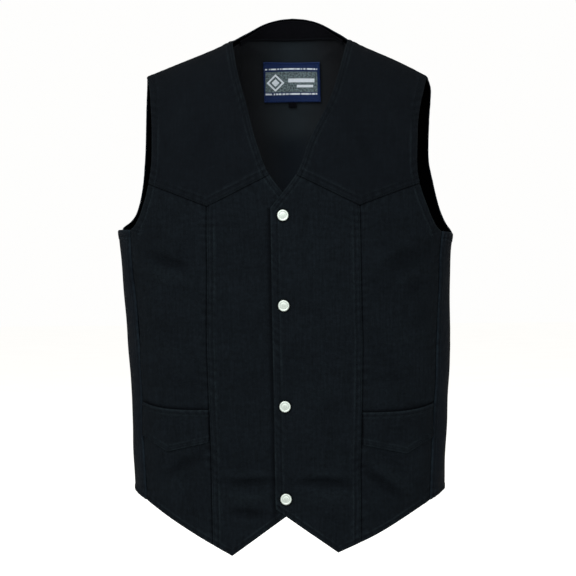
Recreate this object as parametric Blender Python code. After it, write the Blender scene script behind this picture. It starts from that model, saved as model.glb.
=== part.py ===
"""Sleeveless denim riding vest, filled out and hollow, with an open neck, armholes and hem.

Metres, +Z up. +X is the wearer's left and the front faces -Y. The origin lies midway between the two
shoulders, level with the neck ends of their seams, where the wearer's shoulders hold the vest up.
"""
import math

import bpy
import numpy as np

# Thicknesses and gaps
CLOTH = 0.0018              # wall of the denim panels
WELT = 0.0014               # wall of the pocket welts
LINING = 0.0010             # wall of the lining, the neck facing, the label and the tab
SEAM_GAP = 0.0003           # between neighbouring panels, and under what lies on a panel
LOOSE_GAP = 0.0012          # between the back and the lining that hangs inside it
FACET_GAP = 0.0017          # from a wall's form to a small piece inside it, clear of the wall's flat facets
LAP_SHIFT = 0.00130         # the lapping front rises by this, and the front below sinks by it

# Form of the body: superellipse rings |x/a|^n + |y/d|^n = 1
RING_POWER = 2.45
UNDERARM_Z = -0.2600

# Shoulders: below the top line the depth grows as sin(pi/2 * drop/reach)^power
FRONT_CLOSING_REACH = 0.190
BACK_CLOSING_REACH = 0.150
SHOULDER_CLOSING_POWER = 0.58
NECK_CLOSING_POWER = 0.85
NECK_HALF_WIDTH = 0.079
NECK_BLEND = 0.045          # width over which the neck's closing turns into the shoulder's
NECK_SWAY = 0.0062          # the neck hangs this far to the wearer's left
SWAY_POWER = 4              # how late towards the shoulder tips that dies out
SWAY_COLUMNS = 0.028        # share of the back's half width that its columns follow the neck by
SWAY_LOW_Z = -0.150         # and over which heights of the front neck edges it grows
SWAY_RISE = 0.070
SHOULDER_TIP_X = 0.191
SLOPE_STEP = 0.002          # half the width over which the top line's slope is read
OUTWARD_POWER = 0.6         # how soon below the top line outward turns level
NECK_LEVEL = 0.8            # how level outward is at the back neck edge
FOLD_FADE = 0.060           # the folds grow over this depth below the top line

# Front edges, from the centre front at x = 0
YOKE_INNER = (0.0178, -0.188)
YOKE_TIP = (0.1000, -0.2285)
YOKE_OUTER = (0.1777, -0.1985)
LAP_CORNER = (-0.0160, -0.232)
LAP_HEM = (-0.0136, -0.6255)
LAP_FLAT_X = 0.020          # the lap lies at its full height up to here
LAP_RAMP = 0.040            # and comes down to the body's form over this width
HEM_POINT = (0.0705, -0.685)
SIDE_HEM_Z = -0.6145        # at the side seam
FLANK_HEM_Z = -0.6030       # at the widest point of the side
BACK_HEM_Z = -0.604         # at the centre back

# Pocket welt, from the princess seam to the side seam
MOUTH_INNER_Z = -0.4955
MOUTH_SIDE_RISE = 0.0095
MOUTH_CURVE = 4.0
WELT_INNER_Z = -0.5385
WELT_POINT = (0.152, -0.5505)
WELT_SIDE_Z = -0.5355

# Inside of the back
FACING_LOWER_Z = 0.011
FACING_HALF_WIDTH = 0.0625
LINING_HEM_RISE = 0.020     # the lining ends this far above the back's hem
LINING_SHOULDER_DROP = 0.012
LINING_STEP = 0.010         # past the facing's ends the lining rises from below it to the shoulder
LINING_INSET = 2            # columns of the back that the lining leaves bare beside each armhole
LABEL_CENTRE_X = 0.0038     # the label is sewn a little off the centre
LABEL_HALF_WIDTH = 0.0402
LABEL_TOP_Z = -0.017
LABEL_BOTTOM_Z = -0.073
TAB_HALF_WIDTH = 0.0055
TAB_BOTTOM_Z = -0.0805

# Snaps on the centre front
SNAP_HEIGHTS = (-0.2415, -0.3590, -0.4910, -0.6125)
SNAP_RADIUS = 0.0075
SNAP_SEGMENTS = 20

SHARP_ANGLE = math.radians(40)

# Numbers of grid cells
YOKE_CELLS = (8, 12)
YOKE_ROW_POWER = 1.7                    # the yoke's rows crowd towards the shoulder seam
CENTRE_CELLS = ((6, 2), (16, 3))        # columns to the hem point and past it, rows of lap and of neck edge
SIDE_CELLS = (7, (16, 7))               # columns, rows of side seam and of armhole
WELT_CELLS = ((4, 3), 3)                # columns to the point and past it, rows
FLANK_COLUMNS = 4                       # of the back, from a side seam to where its armhole starts
BACK_COLUMNS = 20
MIDDLE = slice(FLANK_COLUMNS, FLANK_COLUMNS + BACK_COLUMNS + 1)
BACK_LOWER_ROWS = 14
BACK_UPPER_ROWS = 14
CURVE_POINTS = 400                      # places at which a curved edge is measured
FACING_ROWS = 5
LABEL_COLUMNS = 8
LABEL_ROWS = 5


def table(names, rows):
    """Named columns of a short table, as arrays."""
    return dict(zip(names.split(), np.array(rows, dtype=float).T))


# Rings of the body, from the hem points up; above the underarm the ring runs on under the open armholes
BODY = table("z half_width front_depth back_depth", (
    (-0.700, 0.2060, 0.110, 0.111),
    (-0.609, 0.2090, 0.112, 0.108),
    (-0.549, 0.2115, 0.115, 0.103),
    (-0.490, 0.2130, 0.118, 0.100),
    (-0.384, 0.2185, 0.128, 0.105),
    (-0.297, 0.2230, 0.132, 0.117),
    (-0.260, 0.2265, 0.133, 0.121),
    (-0.200, 0.2285, 0.133, 0.125),
    (-0.140, 0.2275, 0.132, 0.126),
    (-0.080, 0.2250, 0.129, 0.124),
    (0.000, 0.2200, 0.124, 0.121),
    (0.050, 0.2150, 0.120, 0.118),
))

# Top line: shoulder seam and back neck edge; inside the neck the front's line runs on only as a guide
TOP_LINE = table("x back_z back_y front_z", (
    (0.000, 0.0380, 0.0720, 0.0100),
    (0.020, 0.0357, 0.0695, 0.0095),
    (0.040, 0.0290, 0.0615, 0.0080),
    (0.060, 0.0165, 0.0450, 0.0050),
    (0.072, 0.0075, 0.0240, 0.0020),
    (0.079, 0.0000, 0.0000, 0.0000),
    (0.097, -0.0090, 0.0000, -0.0090),
    (0.118, -0.0180, 0.0000, -0.0180),
    (0.141, -0.0275, 0.0000, -0.0275),
    (0.165, -0.0380, 0.0000, -0.0380),
    (0.191, -0.0505, 0.0000, -0.0505),
    (0.235, -0.0740, 0.0000, -0.0740),
))

NECK_EDGE = table("z x", (
    (-0.232, -0.0160),
    (-0.182, 0.0215),
    (-0.150, 0.0330),
    (-0.066, 0.0630),
    (0.000, 0.0790),
))

FRONT_ARMHOLE = table("z x", (
    (-0.2600, 0.2090),
    (-0.2586, 0.2030),
    (-0.2540, 0.1976),
    (-0.2468, 0.1938),
    (-0.2385, 0.1904),
    (-0.2260, 0.1868),
    (-0.2120, 0.1828),
    (-0.2000, 0.1795),
    (-0.1860, 0.1765),
    (-0.1390, 0.1760),
    (-0.0960, 0.1805),
    (-0.0500, 0.1905),
))

# The back hangs a little askew, so that its left and right armholes differ
BACK_ARMHOLE = table("z left right", (
    (-0.260, 0.2258, 0.2258),
    (-0.255, 0.2191, 0.2246),
    (-0.247, 0.2146, 0.2184),
    (-0.238, 0.2107, 0.2134),
    (-0.226, 0.2068, 0.2096),
    (-0.212, 0.2037, 0.2064),
    (-0.190, 0.1986, 0.2030),
    (-0.165, 0.1941, 0.2013),
    (-0.135, 0.1929, 0.1994),
    (-0.105, 0.1942, 0.1967),
    (-0.080, 0.1963, 0.1940),
    (-0.064, 0.1962, 0.1922),
    (-0.050, 0.1912, 0.1908),
))

PRINCESS_SEAM = table("z x", (
    (-0.690, 0.0970),
    (-0.560, 0.0985),
    (-0.490, 0.1005),
    (-0.390, 0.1020),
    (-0.330, 0.1010),
    (-0.227, 0.1000),
))

SIDE_SEAM = table("z x", (
    (-0.620, 0.1890),
    (-0.546, 0.1930),
    (-0.444, 0.1980),
    (-0.327, 0.2050),
    (-0.260, 0.2090),
))

SIDE_HEM = table("x z", (
    HEM_POINT,
    (0.1276, -0.655),
    (0.1600, -0.634),
    (0.1890, SIDE_HEM_Z),
))

# Largest soft folds: troughs have a negative height; face is -1 on the front and +1 on the back
FOLDS = table("face x z tilt half_length half_width height", (
    (-1, -0.043, -0.593, 3, 0.034, 0.010, -0.0022),
    (-1, -0.050, -0.613, 0, 0.030, 0.010, 0.0016),
    (-1, -0.046, -0.635, -4, 0.028, 0.010, -0.0018),
    (-1, 0.055, -0.592, -2, 0.036, 0.010, -0.0022),
    (-1, 0.060, -0.612, -5, 0.030, 0.010, 0.0016),
    (-1, 0.132, -0.597, -40, 0.030, 0.012, -0.0025),
    (-1, -0.140, -0.580, 35, 0.032, 0.013, -0.0022),
    (-1, -0.157, -0.306, -22, 0.030, 0.012, -0.0025),
    (-1, 0.160, -0.300, 25, 0.030, 0.014, -0.0020),
    (1, -0.090, -0.420, 20, 0.060, 0.020, -0.0030),
    (1, 0.085, -0.450, -18, 0.060, 0.020, -0.0030),
    (1, 0.020, -0.530, 4, 0.090, 0.020, 0.0030),
    (1, -0.130, -0.230, 60, 0.060, 0.018, -0.0025),
    (1, 0.135, -0.215, -62, 0.060, 0.018, -0.0025),
))


def smooth(knots, values, at):
    """Cubic Hermite curve through a table's rows, its slopes taken from the neighbouring rows."""
    slopes = np.gradient(values, knots)
    at = np.asarray(at, dtype=float)
    low = np.clip(np.searchsorted(knots, at) - 1, 0, len(knots) - 2)
    step = knots[low + 1] - knots[low]
    t = np.clip((at - knots[low]) / step, 0.0, 1.0)
    return (values[low] * (1 + 2 * t) * (1 - t) ** 2
            + step * slopes[low] * t * (1 - t) ** 2
            + values[low + 1] * t ** 2 * (3 - 2 * t)
            + step * slopes[low + 1] * t ** 2 * (t - 1))


def ease(t):
    """Soft step from 0 to 1."""
    t = np.clip(t, 0.0, 1.0)
    return t * t * (3 - 2 * t)


def turn_of(x, z, face):
    """Angle from the centre front where the ring at height z has this x, on the front (-1) or back (+1)."""
    share = np.clip(np.abs(x) / smooth(BODY["z"], BODY["half_width"], z), 0.0, 1.0)
    depth_share = (1.0 - share ** RING_POWER) ** (1.0 / RING_POWER)
    angle = np.arctan2(share, -face * depth_share)
    return np.sign(x) * angle if face < 0 else np.where(x < 0, 2 * math.pi - angle, angle)


def neck_sway(x):
    """How far the neck's form is moved to the wearer's left: fully over the neck, not at all at the tips."""
    return NECK_SWAY * (1 - np.clip(np.abs(x) / SHOULDER_TIP_X, 0.0, 1.0) ** SWAY_POWER)


def top_line(column, x):
    """A column of the top line's table at a place across the vest."""
    return smooth(TOP_LINE["x"], TOP_LINE[column], np.abs(x - neck_sway(x)))


def fold_height(x, z, face):
    """Sum of the folds, each a ridge with a bell-shaped section that dies out along its length."""
    total = np.zeros(np.broadcast(x, z).shape)
    for side, fx, fz, tilt, length, width, height in zip(*FOLDS.values()):
        c, s = math.cos(math.radians(tilt)), math.sin(math.radians(tilt))
        along = (x - fx) * c + (z - fz) * s
        across = (z - fz) * c - (x - fx) * s
        bell = np.exp(-(along / length) ** 2 - (across / width) ** 2)
        total += np.where(face == side, height * bell, 0.0)
    return total


def form(turn, z, out=0.0):
    """Points of the vest's outer face at turns from the centre front and heights, moved out by `out`.

    The ring's depth closes towards the top line: y = top_y + (ring_y - top_y) * sin(pi/2 * drop/reach)^power.
    Outward is the ring's own normal low down and the top line's upward normal on the shoulder.
    """
    turn, z = np.broadcast_arrays(np.asarray(turn, float), np.asarray(z, float))
    face = np.where(np.cos(turn) >= 0, -1, 1)
    front = face < 0
    half = smooth(BODY["z"], BODY["half_width"], z)
    depth = np.where(front, smooth(BODY["z"], BODY["front_depth"], z),
                     smooth(BODY["z"], BODY["back_depth"], z))
    sine, cosine = np.sin(turn), np.abs(np.cos(turn))
    radius = (np.abs(sine) ** RING_POWER + cosine ** RING_POWER) ** (-1 / RING_POWER)
    x = half * radius * sine
    ring_y = depth * radius * cosine

    top_z = np.where(front, top_line("front_z", x), top_line("back_z", x))
    top_y = np.where(front, 0.0, np.maximum(top_line("back_y", x), 0.0))
    neck = np.where(front, 0.0, ease((NECK_HALF_WIDTH - np.abs(x - neck_sway(x))) / NECK_BLEND))
    power = SHOULDER_CLOSING_POWER + (NECK_CLOSING_POWER - SHOULDER_CLOSING_POWER) * neck
    reach = np.where(front, FRONT_CLOSING_REACH, BACK_CLOSING_REACH)
    drop = np.clip((top_z - z) / reach, 0.0, 1.0)
    closing = np.sin(math.pi / 2 * drop) ** power
    y = top_y + (ring_y - top_y) * closing

    share_x, share_y = np.abs(x) / half, radius * cosine
    across = np.stack([np.sign(x) * share_x ** (RING_POWER - 1) / half,
                       face * share_y ** (RING_POWER - 1) / depth, np.zeros_like(x)], axis=-1)
    across /= np.linalg.norm(across, axis=-1, keepdims=True)
    slope = (top_line("front_z", x + SLOPE_STEP) - top_line("front_z", x - SLOPE_STEP)) / (2 * SLOPE_STEP)
    upward = np.stack([-slope, np.zeros_like(x), np.ones_like(x)], axis=-1)
    upward /= np.linalg.norm(upward, axis=-1, keepdims=True)
    weight = np.maximum(closing ** OUTWARD_POWER, NECK_LEVEL * neck)[..., None]
    outward = across * weight + upward * np.sqrt(1 - weight ** 2)
    outward /= np.linalg.norm(outward, axis=-1, keepdims=True)

    fade = ease((top_z - z) / FOLD_FADE)
    points = np.stack([x, face * np.maximum(y, SEAM_GAP / 2), z], axis=-1)
    return points + outward * (out + fold_height(x, z, face) * fade)[..., None]


def leg(start, end, count):
    """Straight stretch of an edge, cut into equal steps."""
    return np.linspace(start, end, count + 1)


def curve(column, z_start, z_end, count, shift=0.0):
    """Stretch of an edge along a table of x by height, cut into steps of equal length and moved sideways."""
    z = np.linspace(z_start, z_end, CURVE_POINTS)
    x = smooth(column["z"], column["x"], z)
    run = np.concatenate([[0.0], np.cumsum(np.hypot(np.diff(x), np.diff(z)))])
    even = np.linspace(0.0, run[-1], count + 1)
    return np.stack([np.interp(even, run, x) + shift, np.interp(even, run, z)], axis=-1)


def chain(*legs):
    """Edge made of stretches that follow each other, each shared end kept once."""
    return np.vstack([legs[0]] + [part[1:] for part in legs[1:]])


def patch(left, right, bottom, top, rise=None):
    """Grid between four edges in (x, z), rows from bottom to top: each edge's own bend fades across it."""
    u = np.linspace(0, 1, len(bottom))[None, :, None]
    v = (np.linspace(0, 1, len(left)) if rise is None else rise)[:, None, None]
    corners = ((1 - u) * (1 - v) * bottom[0] + u * (1 - v) * bottom[-1]
               + (1 - u) * v * top[0] + u * v * top[-1])
    sides = (1 - u) * left[:, None] + u * right[:, None]
    ends = (1 - v) * bottom[None] + v * top[None]
    return sides + ends - corners


def face_material(name, colour, roughness, metallic=0.0):
    """Principled material of one sub-part."""
    material = bpy.data.materials.new(name)
    material.use_nodes = True
    shader = material.node_tree.nodes["Principled BSDF"]
    shader.inputs["Base Color"].default_value = (*colour, 1.0)
    shader.inputs["Roughness"].default_value = roughness
    shader.inputs["Metallic"].default_value = metallic
    material.diffuse_color = (*colour, 1.0)
    return material


def add_object(name, points, faces, material):
    """Object from points and faces, shaded smooth up to sharp rims."""
    mesh = bpy.data.meshes.new(name)
    mesh.from_pydata([tuple(p) for p in points], [], faces)
    mesh.shade_smooth()
    mesh.set_sharp_from_angle(angle=SHARP_ANGLE)
    mesh.materials.append(material)
    piece = bpy.data.objects.new(name, mesh)
    bpy.context.scene.collection.objects.link(piece)
    return piece


def add_wall(name, outer, inner, material, cells=None):
    """Closed cloth wall between two grids of points, whose columns run to the right as seen from outside.

    `cells` marks which cells of the grid are cloth. Both layers split a cell along the same diagonal, so
    that walls made from the same grid nest; the diagonals of the grid's two halves mirror each other. A rim
    face closes each edge of a cell with no cloth beyond it.
    """
    rows, columns = outer.shape[:2]
    if cells is None:
        cells = np.ones((rows - 1, columns - 1), dtype=bool)
    used = {}
    points = []

    def corner(layer, row, column):
        key = (layer, row, column)
        if key not in used:
            used[key] = len(points)
            points.append((outer if layer == 0 else inner)[row, column])
        return used[key]

    faces = []
    for row, column in zip(*np.nonzero(cells)):
        loop = [(row, column), (row, column + 1), (row + 1, column + 1), (row + 1, column)]
        first = 1 if column < (columns - 1) // 2 else 0
        spots = loop[first:] + loop[:first]
        for half in (spots[:3], spots[2:] + spots[:1]):
            faces.append([corner(0, *spot) for spot in half])
            faces.append([corner(1, *spot) for spot in reversed(half)])
        beyond = [(row - 1, column), (row, column + 1), (row + 1, column), (row, column - 1)]
        for start, end, (r, c) in zip(loop, loop[1:] + loop[:1], beyond):
            inside = 0 <= r < rows - 1 and 0 <= c < columns - 1
            if not (inside and cells[r, c]):
                faces.append([corner(0, *end), corner(0, *start), corner(1, *start), corner(1, *end)])
    return add_object(name, points, faces, material)


def lap_shift(x, side):
    """Rise of the left front over the centre, or sinking of the right front below it."""
    return side * LAP_SHIFT * (1 - ease((x - LAP_FLAT_X) / LAP_RAMP))


def add_front_wall(name, side, grid, material, base=0.0, thickness=CLOTH):
    """Wall of a front panel on the left (+1) or right (-1) from its grid in (x, z) of the left side."""
    x, z = grid[..., 0], grid[..., 1]
    height = base + lap_shift(x, side)
    turn = side * turn_of(x, z, -1)
    outer = form(turn, z, height)
    inner = form(turn, z, height - thickness)
    return add_wall(name, outer[:, ::side], inner[:, ::side], material)


def hem_edge(columns):
    """Hem of the centre front from its lap corner to the point, and on to the princess seam."""
    seam_x = princess_x(HEM_POINT[1])
    end = (seam_x - SEAM_GAP / 2, smooth(SIDE_HEM["x"], SIDE_HEM["z"], seam_x))
    return chain(leg(LAP_HEM, HEM_POINT, columns[0]), leg(HEM_POINT, end, columns[1]))


def princess_x(z):
    """Place of the princess seam at a height."""
    return float(smooth(PRINCESS_SEAM["z"], PRINCESS_SEAM["x"], z))


def yoke_edge(start, end, count, lift):
    """Stretch of the yoke seam, moved up or down to its side of the seam's gap."""
    edge = leg(start, end, count)
    edge[:, 1] += lift
    return edge


def add_yoke(side, name, material):
    """Pointed yoke: seam below, neck edge and armhole at its sides, shoulder seam on top."""
    columns, rows = YOKE_CELLS
    lift = SEAM_GAP / 2
    half = columns // 2
    bottom = chain(yoke_edge(YOKE_INNER, YOKE_TIP, half, lift), yoke_edge(YOKE_TIP, YOKE_OUTER, half, lift))
    rise = 1 - (1 - np.linspace(0, 1, rows + 1)) ** YOKE_ROW_POWER
    left_z = bottom[0, 1] * (1 - rise)
    left_x = smooth(NECK_EDGE["z"], NECK_EDGE["x"], left_z)
    left_x += side * neck_sway(left_x) * ease((left_z - SWAY_LOW_Z) / SWAY_RISE)
    left = np.stack([left_x, left_z], axis=-1)
    tip_z = float(top_line("front_z", SHOULDER_TIP_X))
    right_z = bottom[-1, 1] + (tip_z - bottom[-1, 1]) * rise
    right = np.stack([smooth(FRONT_ARMHOLE["z"], FRONT_ARMHOLE["x"], right_z), right_z], axis=-1)
    top_x = np.linspace(left[-1, 0], right[-1, 0], columns + 1)
    top = np.stack([top_x, top_line("front_z", side * top_x)], axis=-1)
    bottom[0], bottom[-1] = left[0], right[0]
    top[0], top[-1] = left[-1], right[-1]
    return add_front_wall(name, side, patch(left, right, bottom, top, rise), material)


def add_front_centre(side, name, material):
    """Centre front: lap and neck edge at its inner side, princess seam at its outer side."""
    columns, (lap_rows, neck_rows) = CENTRE_CELLS
    bottom = hem_edge(columns)
    top = yoke_edge(YOKE_INNER, YOKE_TIP, sum(columns), -SEAM_GAP / 2)
    top[-1, 0] -= SEAM_GAP / 2
    left = chain(leg(LAP_HEM, LAP_CORNER, lap_rows),
                 curve(NECK_EDGE, LAP_CORNER[1], top[0, 1], neck_rows))
    top[0] = left[-1]
    right = curve(PRINCESS_SEAM, bottom[-1, 1], top[-1, 1], lap_rows + neck_rows, -SEAM_GAP / 2)
    bottom[-1], top[-1] = right[0], right[-1]
    return add_front_wall(name, side, patch(left, right, bottom, top), material)


def side_front_grid():
    """Grid of the side front between the princess seam and the side seam."""
    columns, (seam_rows, armhole_rows) = SIDE_CELLS
    inner_x = princess_x(HEM_POINT[1]) + SEAM_GAP / 2
    hem_x = np.linspace(inner_x, SIDE_HEM["x"][-1] - SEAM_GAP / 2, columns + 1)
    bottom = np.stack([hem_x, smooth(SIDE_HEM["x"], SIDE_HEM["z"], hem_x)], axis=-1)
    top = yoke_edge(YOKE_TIP, YOKE_OUTER, columns, -SEAM_GAP / 2)
    left = curve(PRINCESS_SEAM, bottom[0, 1], top[0, 1], seam_rows + armhole_rows, SEAM_GAP / 2)
    right = chain(curve(SIDE_SEAM, bottom[-1, 1], UNDERARM_Z, seam_rows, -SEAM_GAP / 2),
                  curve(FRONT_ARMHOLE, UNDERARM_Z, top[-1, 1], armhole_rows, -SEAM_GAP / 2))
    bottom[0], bottom[-1] = left[0], right[0]
    top[0], top[-1] = left[-1], right[-1]
    return patch(left, right, bottom, top)


def add_pocket_welt(side, name, material):
    """Shaped welt on the side front: curved mouth on top, point in its lower edge."""
    (to_point, past_point), rows = WELT_CELLS
    inner_x = princess_x(MOUTH_INNER_Z) + SEAM_GAP
    outer_x = float(smooth(SIDE_SEAM["z"], SIDE_SEAM["x"], WELT_SIDE_Z)) - 2 * SEAM_GAP
    bottom = chain(leg((inner_x, WELT_INNER_Z), WELT_POINT, to_point),
                   leg(WELT_POINT, (outer_x, WELT_SIDE_Z), past_point))
    across = (bottom[:, 0] - inner_x) / (outer_x - inner_x)
    mouth = MOUTH_INNER_Z + MOUTH_SIDE_RISE * across ** MOUTH_CURVE
    grid = np.stack([leg(b, (b[0], m), rows) for b, m in zip(bottom, mouth)], axis=1)
    return add_front_wall(name, side, grid, material, WELT + SEAM_GAP, WELT)


def back_grid():
    """Turns and heights of the back's grid, and which of its cells are cloth.

    Below the underarm the columns wrap round to both side seams. Above it only the columns between the
    armholes go on, drawn in to the armhole's edge and up to the top line.
    """
    lower = np.linspace(0, 1, BACK_LOWER_ROWS + 1)
    even = np.linspace(0, 1, BACK_UPPER_ROWS + 1)
    upper = (even + ease(even)) / 2
    middle = np.linspace(-1, 1, BACK_COLUMNS + 1)
    start_turn = math.pi - float(turn_of(BACK_ARMHOLE["left"][0], UNDERARM_Z, 1))

    seam_z = SIDE_HEM_Z + (UNDERARM_Z - SIDE_HEM_Z) * lower
    seam_turn = math.pi - turn_of(smooth(SIDE_SEAM["z"], SIDE_SEAM["x"], seam_z) + SEAM_GAP / 2, seam_z, -1)
    flank = np.linspace(0, 1, FLANK_COLUMNS + 1)[1:]
    right_flank = start_turn + (seam_turn[:, None] - start_turn) * flank[None, :]
    from_back = np.hstack([-right_flank[:, ::-1], np.tile(middle * start_turn, (len(lower), 1)), right_flank])
    turned = np.abs(from_back[0])
    quarter = math.pi / 2
    hem = BACK_HEM_Z + (FLANK_HEM_Z - BACK_HEM_Z) * ease(turned / quarter)
    hem += (SIDE_HEM_Z - FLANK_HEM_Z) * np.clip((turned - quarter) / (seam_turn[0] - quarter), 0.0, 1.0)
    low_z = hem[None, :] + (UNDERARM_Z - hem[None, :]) * lower[:, None]

    tip_z = float(top_line("back_z", SHOULDER_TIP_X))
    edge_z = UNDERARM_Z + (tip_z - UNDERARM_Z) * upper
    left_turn = math.pi - turn_of(smooth(BACK_ARMHOLE["z"], BACK_ARMHOLE["left"], edge_z), edge_z, 1)
    right_turn = math.pi - turn_of(smooth(BACK_ARMHOLE["z"], BACK_ARMHOLE["right"], edge_z), edge_z, 1)
    high_turn = np.zeros((len(upper), from_back.shape[1]))
    drawn = middle - SWAY_COLUMNS * (1 - middle ** 2) * upper[:, None]
    high_turn[:, MIDDLE] = (right_turn[:, None] * (1 + drawn) - left_turn[:, None] * (1 - drawn)) / 2
    top_x = form(math.pi + high_turn[-1], np.zeros(high_turn.shape[1]))[..., 0]
    top_z = top_line("back_z", np.clip(top_x, -SHOULDER_TIP_X, SHOULDER_TIP_X))
    high_z = UNDERARM_Z + (top_z[None, :] - UNDERARM_Z) * upper[:, None]

    turns = math.pi + np.vstack([from_back, high_turn[1:]])
    heights = np.vstack([low_z, high_z[1:]])
    cells = np.ones((turns.shape[0] - 1, turns.shape[1] - 1), dtype=bool)
    cells[BACK_LOWER_ROWS:, :FLANK_COLUMNS] = False
    cells[BACK_LOWER_ROWS:, FLANK_COLUMNS + BACK_COLUMNS:] = False
    return turns, heights, cells


def add_back(name, material):
    """Back panel from side seam to side seam, up to the shoulder seams and the neck edge."""
    turns, heights, cells = back_grid()
    return add_wall(name, form(turns, heights), form(turns, heights, -CLOTH), material, cells)


def add_lining(name, material):
    """Lining made from the back's own points, moved in; it stops short of hem, armholes and shoulders."""
    turns, heights, cells = back_grid()
    first = FLANK_COLUMNS + LINING_INSET
    last = FLANK_COLUMNS + BACK_COLUMNS - LINING_INSET
    lining_cells = np.zeros_like(cells)
    lining_cells[:, first:last] = True
    outer = form(turns, heights, -CLOTH - LOOSE_GAP)
    inner = form(turns, heights, -CLOTH - LOOSE_GAP - LINING)
    x = np.abs(outer[-1, :, 0] - NECK_SWAY)
    under_facing = FACING_LOWER_Z - LOOSE_GAP
    below_shoulder = heights[-1] - LINING_SHOULDER_DROP
    by_facing = x < FACING_HALF_WIDTH + LINING_STEP
    stop = np.where(by_facing, np.minimum(under_facing, below_shoulder), below_shoulder)
    for grid in (outer, inner):
        end_row(grid, heights, stop)
        end_row(grid[::-1], heights[::-1], heights[0] + LINING_HEM_RISE)
    return add_wall(name, outer, inner, material, lining_cells)


def end_row(grid, heights, stop):
    """Draws the last rows of a grid back to the height `stop`, along the grid's own straight cell sides."""
    for column in range(grid.shape[1]):
        rising = heights[-1, column] > heights[-2, column]
        past = heights[:, column] > stop[column] if rising else heights[:, column] < stop[column]
        rows = np.nonzero(past)[0]
        if len(rows) == 0:
            continue
        first = rows[0]
        span = heights[first, column] - heights[first - 1, column]
        share = (stop[column] - heights[first - 1, column]) / span
        end = grid[first - 1, column] + (grid[first, column] - grid[first - 1, column]) * share
        count = len(rows)
        start = grid[first - 1, column].copy()
        for step, row in enumerate(rows, 1):
            grid[row, column] = start + (end - start) * step / count


def add_inside_patch(name, x, top, bottom, rows, depth, material):
    """Small wall on the inside of the back, between a top and a bottom height given for each x."""
    v = np.linspace(0, 1, rows + 1)[:, None]
    z = bottom(x)[None, :] * (1 - v) + top(x)[None, :] * v
    turn = turn_of(np.broadcast_to(x, z.shape), z, 1)
    return add_wall(name, form(turn, z, -depth), form(turn, z, -depth - LINING), material)


def facing_columns():
    """Places across the neck facing: the back's own columns at the neck edge, and the facing's two ends."""
    turns, heights, _ = back_grid()
    x = form(turns[-1, MIDDLE], heights[-1, MIDDLE])[:, 0]
    inner = x[np.abs(x - NECK_SWAY) < FACING_HALF_WIDTH]
    return np.concatenate([[NECK_SWAY + FACING_HALF_WIDTH], inner, [NECK_SWAY - FACING_HALF_WIDTH]])


def level(z):
    """Straight edge at one height."""
    return lambda x: np.full_like(x, z)


def neck_edge_z(x):
    """Height of the back neck edge."""
    return top_line("back_z", x)


def lathe(profile, segments):
    """Points and faces of a turned solid from (radius, height) rows; the first and last lie on the axis."""
    angles = np.linspace(0, 2 * math.pi, segments, endpoint=False)
    points = [(0.0, 0.0, profile[0][1])]
    for radius, height in profile[1:-1]:
        points += [(radius * math.cos(a), radius * math.sin(a), height) for a in angles]
    points.append((0.0, 0.0, profile[-1][1]))
    rings = len(profile) - 2
    faces = []
    for k in range(segments):
        nxt = (k + 1) % segments
        faces.append((0, 1 + nxt, 1 + k))
        for ring in range(rings - 1):
            low = 1 + ring * segments
            high = low + segments
            faces.append((low + k, low + nxt, high + nxt, high + k))
        last = 1 + (rings - 1) * segments
        faces.append((last + k, last + nxt, len(points) - 1))
    return points, faces


# Snap profiles as shares of the cap's radius, from the cloth outwards
CAP_PROFILE = ((0.0, 0.0), (0.95, 0.0), (1.0, 0.07), (0.98, 0.17), (0.86, 0.25), (0.62, 0.30), (0.0, 0.34))
RIVET_PROFILE = ((0.0, 0.0), (0.80, 0.0), (0.80, 0.08), (0.58, 0.17), (0.32, 0.17), (0.26, 0.09), (0.0, 0.09))


def add_snap_piece(name, profile, z, out, facing, material):
    """Turned piece seated on the centre front at height z, facing out (-1) or into the vest (+1)."""
    rows = [(radius * SNAP_RADIUS, height * SNAP_RADIUS) for radius, height in profile]
    points, faces = lathe(rows, SNAP_SEGMENTS)
    piece = add_object(name, points, faces, material)
    above, below = form(0.0, z + SNAP_RADIUS, out), form(0.0, z - SNAP_RADIUS, out)
    lean = math.atan2(above[1] - below[1], above[2] - below[2])
    piece.location = (above + below) / 2
    piece.rotation_euler = (-facing * math.pi / 2 - lean, 0.0, 0.0)
    return piece


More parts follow.
